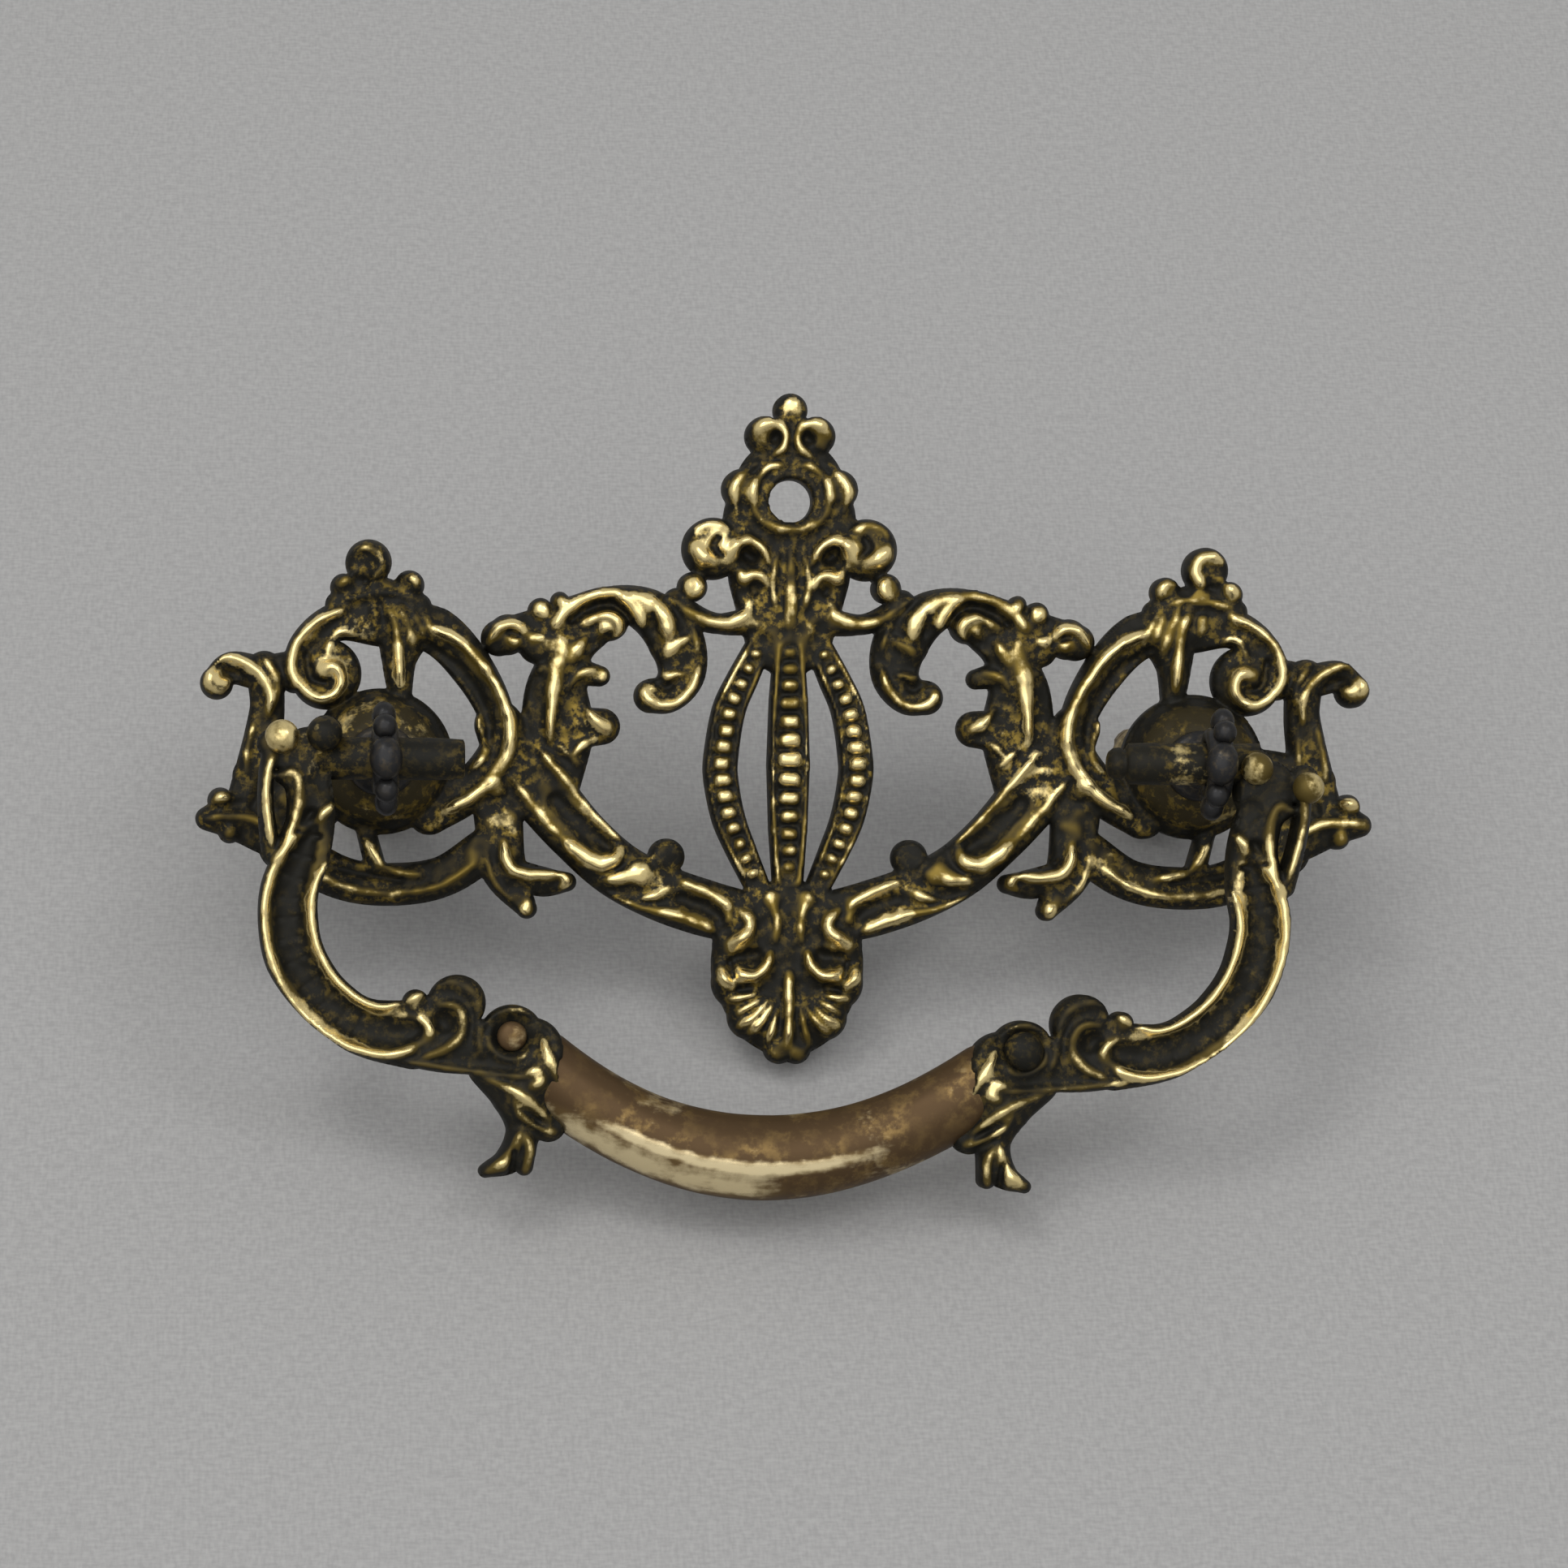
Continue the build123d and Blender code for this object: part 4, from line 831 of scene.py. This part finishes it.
for points in [channel] + arm_limbs:
    arm.scroll(wing(points), arm_level, arm_crown)
for x, z, radius, ball_share in arm_lobes:
    arm.scroll(wing([(x, z, 2 * radius)]), arm_level, arm_crown + ball_share * 0.3)
arm_crest_width = 1.2
for height, points in arm_crests:
    arm.ridge(np.array(wing(points)) * (1, 1, arm_crest_width), height)
for depth, points in arm_cuts:
    arm.groove(wing(points), depth)
# Flutes across the channel
channel_line, _ = flowing(wing(channel), 30)
channel_way = headings(channel_line)
for i in range(45, len(channel_line) - 40, 9):
    across_way = np.array([-channel_way[i, 1], channel_way[i, 0]])
    ends = [channel_line[i] - across_way, channel_line[i] + across_way]
    arm.groove(even(ends, 0.6), 1.0 if i % 2 else 0.4)
# The casting swells up to meet the round grip
swell_height, swell_x, swell_z, swell_length, swell_width = 2.1, 20.4, -28.6, 4.5, 2.5
arm_x, arm_z = np.meshgrid(arm.x, arm.z)
swell_along = ((arm_x - swell_x) * 0.62 - (arm_z - swell_z) * 0.78) / swell_length
swell_across = ((arm_x - swell_x) * 0.78 + (arm_z - swell_z) * 0.62) / swell_width
swell = swell_height * np.exp(-(swell_along**2) - swell_across**2)
arm_height = np.clip(softened(arm.body + arm.rise - arm.sink, 0.6) + swell, 0.8, 4.2)
arm_height += roughcast(arm_height.shape, 9, 0.03)
arm_back = np.maximum(softened(arm.body, 2.5), 1.2)
arm_proud = proudness(arm_height, arm.inside)
# The volute, the end scroll and the head stay brown
brown_places = [(-14.8, -25.7, 3.4, -0.3), (-9.6, -22.6, 2.4, -0.2), (5, -2, 4, -0.15)]
rub(arm_proud, arm_x - post_x, arm_z, brown_places)
arm_points, arm_faces, arm_stands = skin(arm.x, arm.z, arm.inside, eye_y - arm_height, eye_y - arm_wall,
                                         eye_y + arm_back, eye_y + arm_wall, arm_proud, 1)


def bent(side, x, z):
    """Where a point of an arm lies, now that the bail has slid, leant and sagged in use."""
    return bail_slide + side * x + bail_lean * z, z - bail_sag * side * x


bail_forms, bail_stands = [], []
for side in (1, -1):
    moved = arm_points.copy()
    moved[:, 0], moved[:, 2] = bent(side, arm_points[:, 0], arm_points[:, 2])
    bail_forms.append((moved, arm_faces if side == 1 else [face[::-1] for face in arm_faces]))
    bail_stands.append(arm_stands)
# Grip: a round bar along a parabola, thickest in the middle
grip_hang, grip_rise, grip_half = 36.1, 8.7, post_x - 16.3
grip_steps = np.linspace(-1, 1, 141)
from_middle = (0, 0.229, 0.463, 0.67, 0.844, 0.97, 1)
grip_radius = np.interp(np.abs(grip_steps), from_middle, (3.9, 3.82, 3.65, 3.55, 3.5, 3.45, 2.9))
grip_radius = np.convolve(np.pad(grip_radius, 2, "edge"), np.ones(5) / 5, "valid")
grip_x, grip_z = bent(1, grip_steps * grip_half, grip_steps**2 * grip_rise - grip_hang)
grip_way = headings(np.stack([grip_x, grip_z], 1))
grip_points, grip_stands = [], []
for i, radius in enumerate(grip_radius):
    up = radius * np.sin(turn)
    ring_x, ring_z = grip_x[i] - grip_way[i, 1] * up, grip_z[i] + grip_way[i, 0] * up
    grip_points.append(np.stack([ring_x, eye_y - radius * np.cos(turn), ring_z], 1))
    # Worn bright low on the front, more to the left: a broad band of wear, and a narrow painted highlight,
    # the cloth's reflection painted in as bare metal
    wear_and_highlight = 0
    for middle, spread, start, end in ((-50, 25, -0.92, 0.2), (-14, 9, -0.75, 0.6)):
        away = (turn - radians(middle) + pi) % (2 * pi) - pi
        length = np.clip((grip_steps[i] - start) / 0.2, 0, 1) * np.clip((end - grip_steps[i]) / 0.3, 0, 1)
        wear_and_highlight = np.maximum(wear_and_highlight, np.exp(-((away / radians(spread)) ** 2)) * length)
    grip_stands.append(0.6 * wear_and_highlight - 0.14)
brown_forms = [len(bail_forms)]
bail_forms.append((np.vstack(grip_points), tube_faces(len(grip_radius))))
bail_stands.append(np.concatenate(grip_stands))
# The volutes' eyes: a flat copper-coloured disc on the left, a dull ball on the right
brown_forms.append(len(bail_forms))
for side, radius, high, stands in ((-1, 1.35, 0.7, 0.0), (1, 1.85, 1.4, -0.12)):
    x, z = bent(side, post_x - 14.8, -25.7)
    bail_forms.append(ball((x, eye_y - 2.3, z), (radius, high, radius)))
    bail_stands.append(np.full(len(bail_forms[-1][0]), stands))
# Pins, turned in from the heads through the eyes: the right one has a knob at its tip, the left one is flat
knob = [(-0.6, 0.7), (-0.45, 1.1), (0, 1.45), (0.6, 1.5), (1, 1.25), (1.15, 1.5)]
for side, tip_rows, stands in ((1, knob, -0.02), (-1, [(0, 1.5), (0.12, 1.78)], -0.1)):
    pin_points, pin_faces = turned(tip_rows + [(1.4, 1.88), (3, 1.93), (8, 1.93), (13.4, 1.95)])
    tip = side * (post_x - 8.4) + bail_slide
    pin_points = np.stack([tip + side * pin_points[:, 1], eye_y + pin_points[:, 0], pin_points[:, 2]], 1)
    bail_forms.append((pin_points, pin_faces if side == -1 else [face[::-1] for face in pin_faces]))
    bail_stands.append(np.full(len(pin_points), stands))
# Balls on the head and on its outer curl, the inner one on the left dark
head_balls = [(-1, 4.4, 1.0, 1.6, -0.2), (-1, 8.2, 0.6, 1.55, 0.4)]
head_balls += [(1, 4.5, 0.8, 1.5, 0.28), (1, 9.4, -0.8, 1.45, 0.3)]
for side, x, z, radius, stands in head_balls:
    x, z = bent(side, post_x + x, z)
    bail_forms.append(ball((x, eye_y - 2.2, z), (radius, radius, radius)))
    bail_stands.append(np.full(len(bail_forms[-1][0]), stands))
bail_points, bail_faces = joined(*bail_forms)
bail_brass = brass("bail_brass", warmth=0.5)
bail = piece("bail_casting", bail_points, bail_faces, np.concatenate(bail_stands), bail_brass)
grip_brass = brass("grip_brass", bump=0.12, streak=0.3, rub_from=0.0, rub_to=0.42, speckle_scale=500.0,
                   bare=0.6, polish=0.06, bright=(0.95, 0.79, 0.47, 1), tarnish=(0.25, 0.165, 0.065, 1),
                   dark=(0.085, 0.052, 0.025, 1))
bail.data.materials.append(grip_brass)
slots = [np.full(len(faces), int(k in brown_forms)) for k, (_, faces) in enumerate(bail_forms)]
bail.data.polygons.foreach_set("material_index", np.concatenate(slots))
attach(bail, "bail")
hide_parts("bail")

# Floor. A sheet of pale grey cloth on the table that the pull lies on, leaning back on its shanks.

cloth_point = Vector((0, 28.4 * MM, 0))
cloth_lean = radians(43.5)
cloth_half = 1.6
down = Vector((0, -sin(cloth_lean), -cos(cloth_lean))) * cloth_half
across = Vector((1, 0, 0)) * cloth_half
floor_mesh = bpy.data.meshes.new("floor_cloth")
corners = [cloth_point + across * a + down * b for a, b in ((-1, 1), (1, 1), (1, -1), (-1, -1))]
floor_mesh.from_pydata([tuple(c) for c in corners], [], [(0, 1, 2, 3)])
cloth_map = [2 * cloth_half * share for share in (0, 0, 1, 0, 1, 1, 0, 1)]
floor_mesh.uv_layers.new(name="cloth").data.foreach_set("uv", cloth_map)
floor = bpy.data.objects.new("floor_cloth", floor_mesh)
bpy.context.scene.collection.objects.link(floor)
cloth = bpy.data.materials.new("pale_cloth")
cloth.use_nodes = True
cloth_tree = cloth.node_tree
cloth_shader = cloth_tree.nodes["Principled BSDF"].inputs
cloth_place = add_node(cloth_tree, "ShaderNodeTexCoord", {})["UV"]
# Threads both ways, each a noise drawn out along the thread
threads = []
for thread_scale in ((900, 3000, 1), (3000, 900, 1)):
    feeds = {"Vector": cloth_place, "Scale": thread_scale}
    drawn_out = add_node(cloth_tree, "ShaderNodeMapping", feeds)["Vector"]
    feeds = {"Vector": drawn_out, "Scale": 1.0, "Detail": 1.0}
    threads.append(add_node(cloth_tree, "ShaderNodeTexNoise", feeds)["Fac"])
weave = add_node(cloth_tree, "ShaderNodeMath", dict(enumerate(threads)), operation="ADD")["Value"]
greys = {"Vector": weave, "From Min": (0.7, 0.7, 0.7), "From Max": (1.3, 1.3, 1.3),
         "To Min": (0.3, 0.298, 0.296), "To Max": (0.36, 0.358, 0.354)}
cloth_colour = add_node(cloth_tree, "ShaderNodeMapRange", greys, data_type="FLOAT_VECTOR")["Vector"]
cloth_tree.links.new(cloth_colour, cloth_shader["Base Color"])
# From behind, the cloth is left out of the picture so that the shanks and nuts show
behind = add_node(cloth_tree, "ShaderNodeNewGeometry", {})["Backfacing"]
shown = add_node(cloth_tree, "ShaderNodeMath", {0: 1.0, 1: behind}, operation="SUBTRACT")["Value"]
cloth_tree.links.new(shown, cloth_shader["Alpha"])
cloth_shader["Roughness"].default_value = 0.9
cloth_shader["Specular IOR Level"].default_value = 0.1
floor.data.materials.append(cloth)

# Light. A broad window behind the camera, whose shadows hardly show, and two small ones that put the
# sparkle on the brass.


def window(name, place, size, power, colour):
    """A soft rectangular light that faces the pull."""
    lamp = bpy.data.lights.new(name, "AREA")
    lamp.shape = "RECTANGLE"
    lamp.size, lamp.size_y = size
    lamp.energy = power
    lamp.color = colour
    made = bpy.data.objects.new(name, lamp)
    made.location = place
    made.rotation_euler = (-Vector(place)).to_track_quat("-Z", "Y").to_euler()
    bpy.context.scene.collection.objects.link(made)


window("window_broad", (-0.4, -1.7, 0.45), (2.4, 1.8), 20, (1, 0.99, 0.98))
window("window_left", (-0.45, -0.9, 0.9), (0.3, 0.4), 2.4, (1, 0.99, 0.96))
window("window_right", (0.55, -1.0, 0.6), (0.3, 0.3), 1.4, (0.98, 0.98, 1))
world = bpy.data.worlds.new("room")
world.use_nodes = True
world.node_tree.nodes["Background"].inputs["Color"].default_value = (0.6, 0.6, 0.6, 1)
world.node_tree.nodes["Background"].inputs["Strength"].default_value = 1.0
bpy.context.scene.world = world
bpy.context.scene.view_settings.view_transform = "Standard"

# Camera. Level with the posts and a little to the left, about 0.6 m away.

distance, view_width = 0.6, 0.1469
azimuth, elevation, roll = radians(-5.3), radians(-1.0), radians(0.3)
photo_side, pixels_right, pixels_up = 1932, -4, -24
away = Vector((sin(azimuth) * cos(elevation), -cos(azimuth) * cos(elevation), sin(elevation)))
lens = bpy.data.cameras.new("camera")
lens.sensor_width = 36
lens.lens = lens.sensor_width * distance / view_width
lens.shift_x, lens.shift_y = pixels_right / photo_side, pixels_up / photo_side
camera = bpy.data.objects.new("camera", lens)
camera.location = away * distance
camera.rotation_mode = "QUATERNION"
camera.rotation_quaternion = (-away).to_track_quat("-Z", "Y") @ Matrix.Rotation(roll, 3, "Z").to_quaternion()
bpy.context.scene.collection.objects.link(camera)
bpy.context.scene.camera = camera
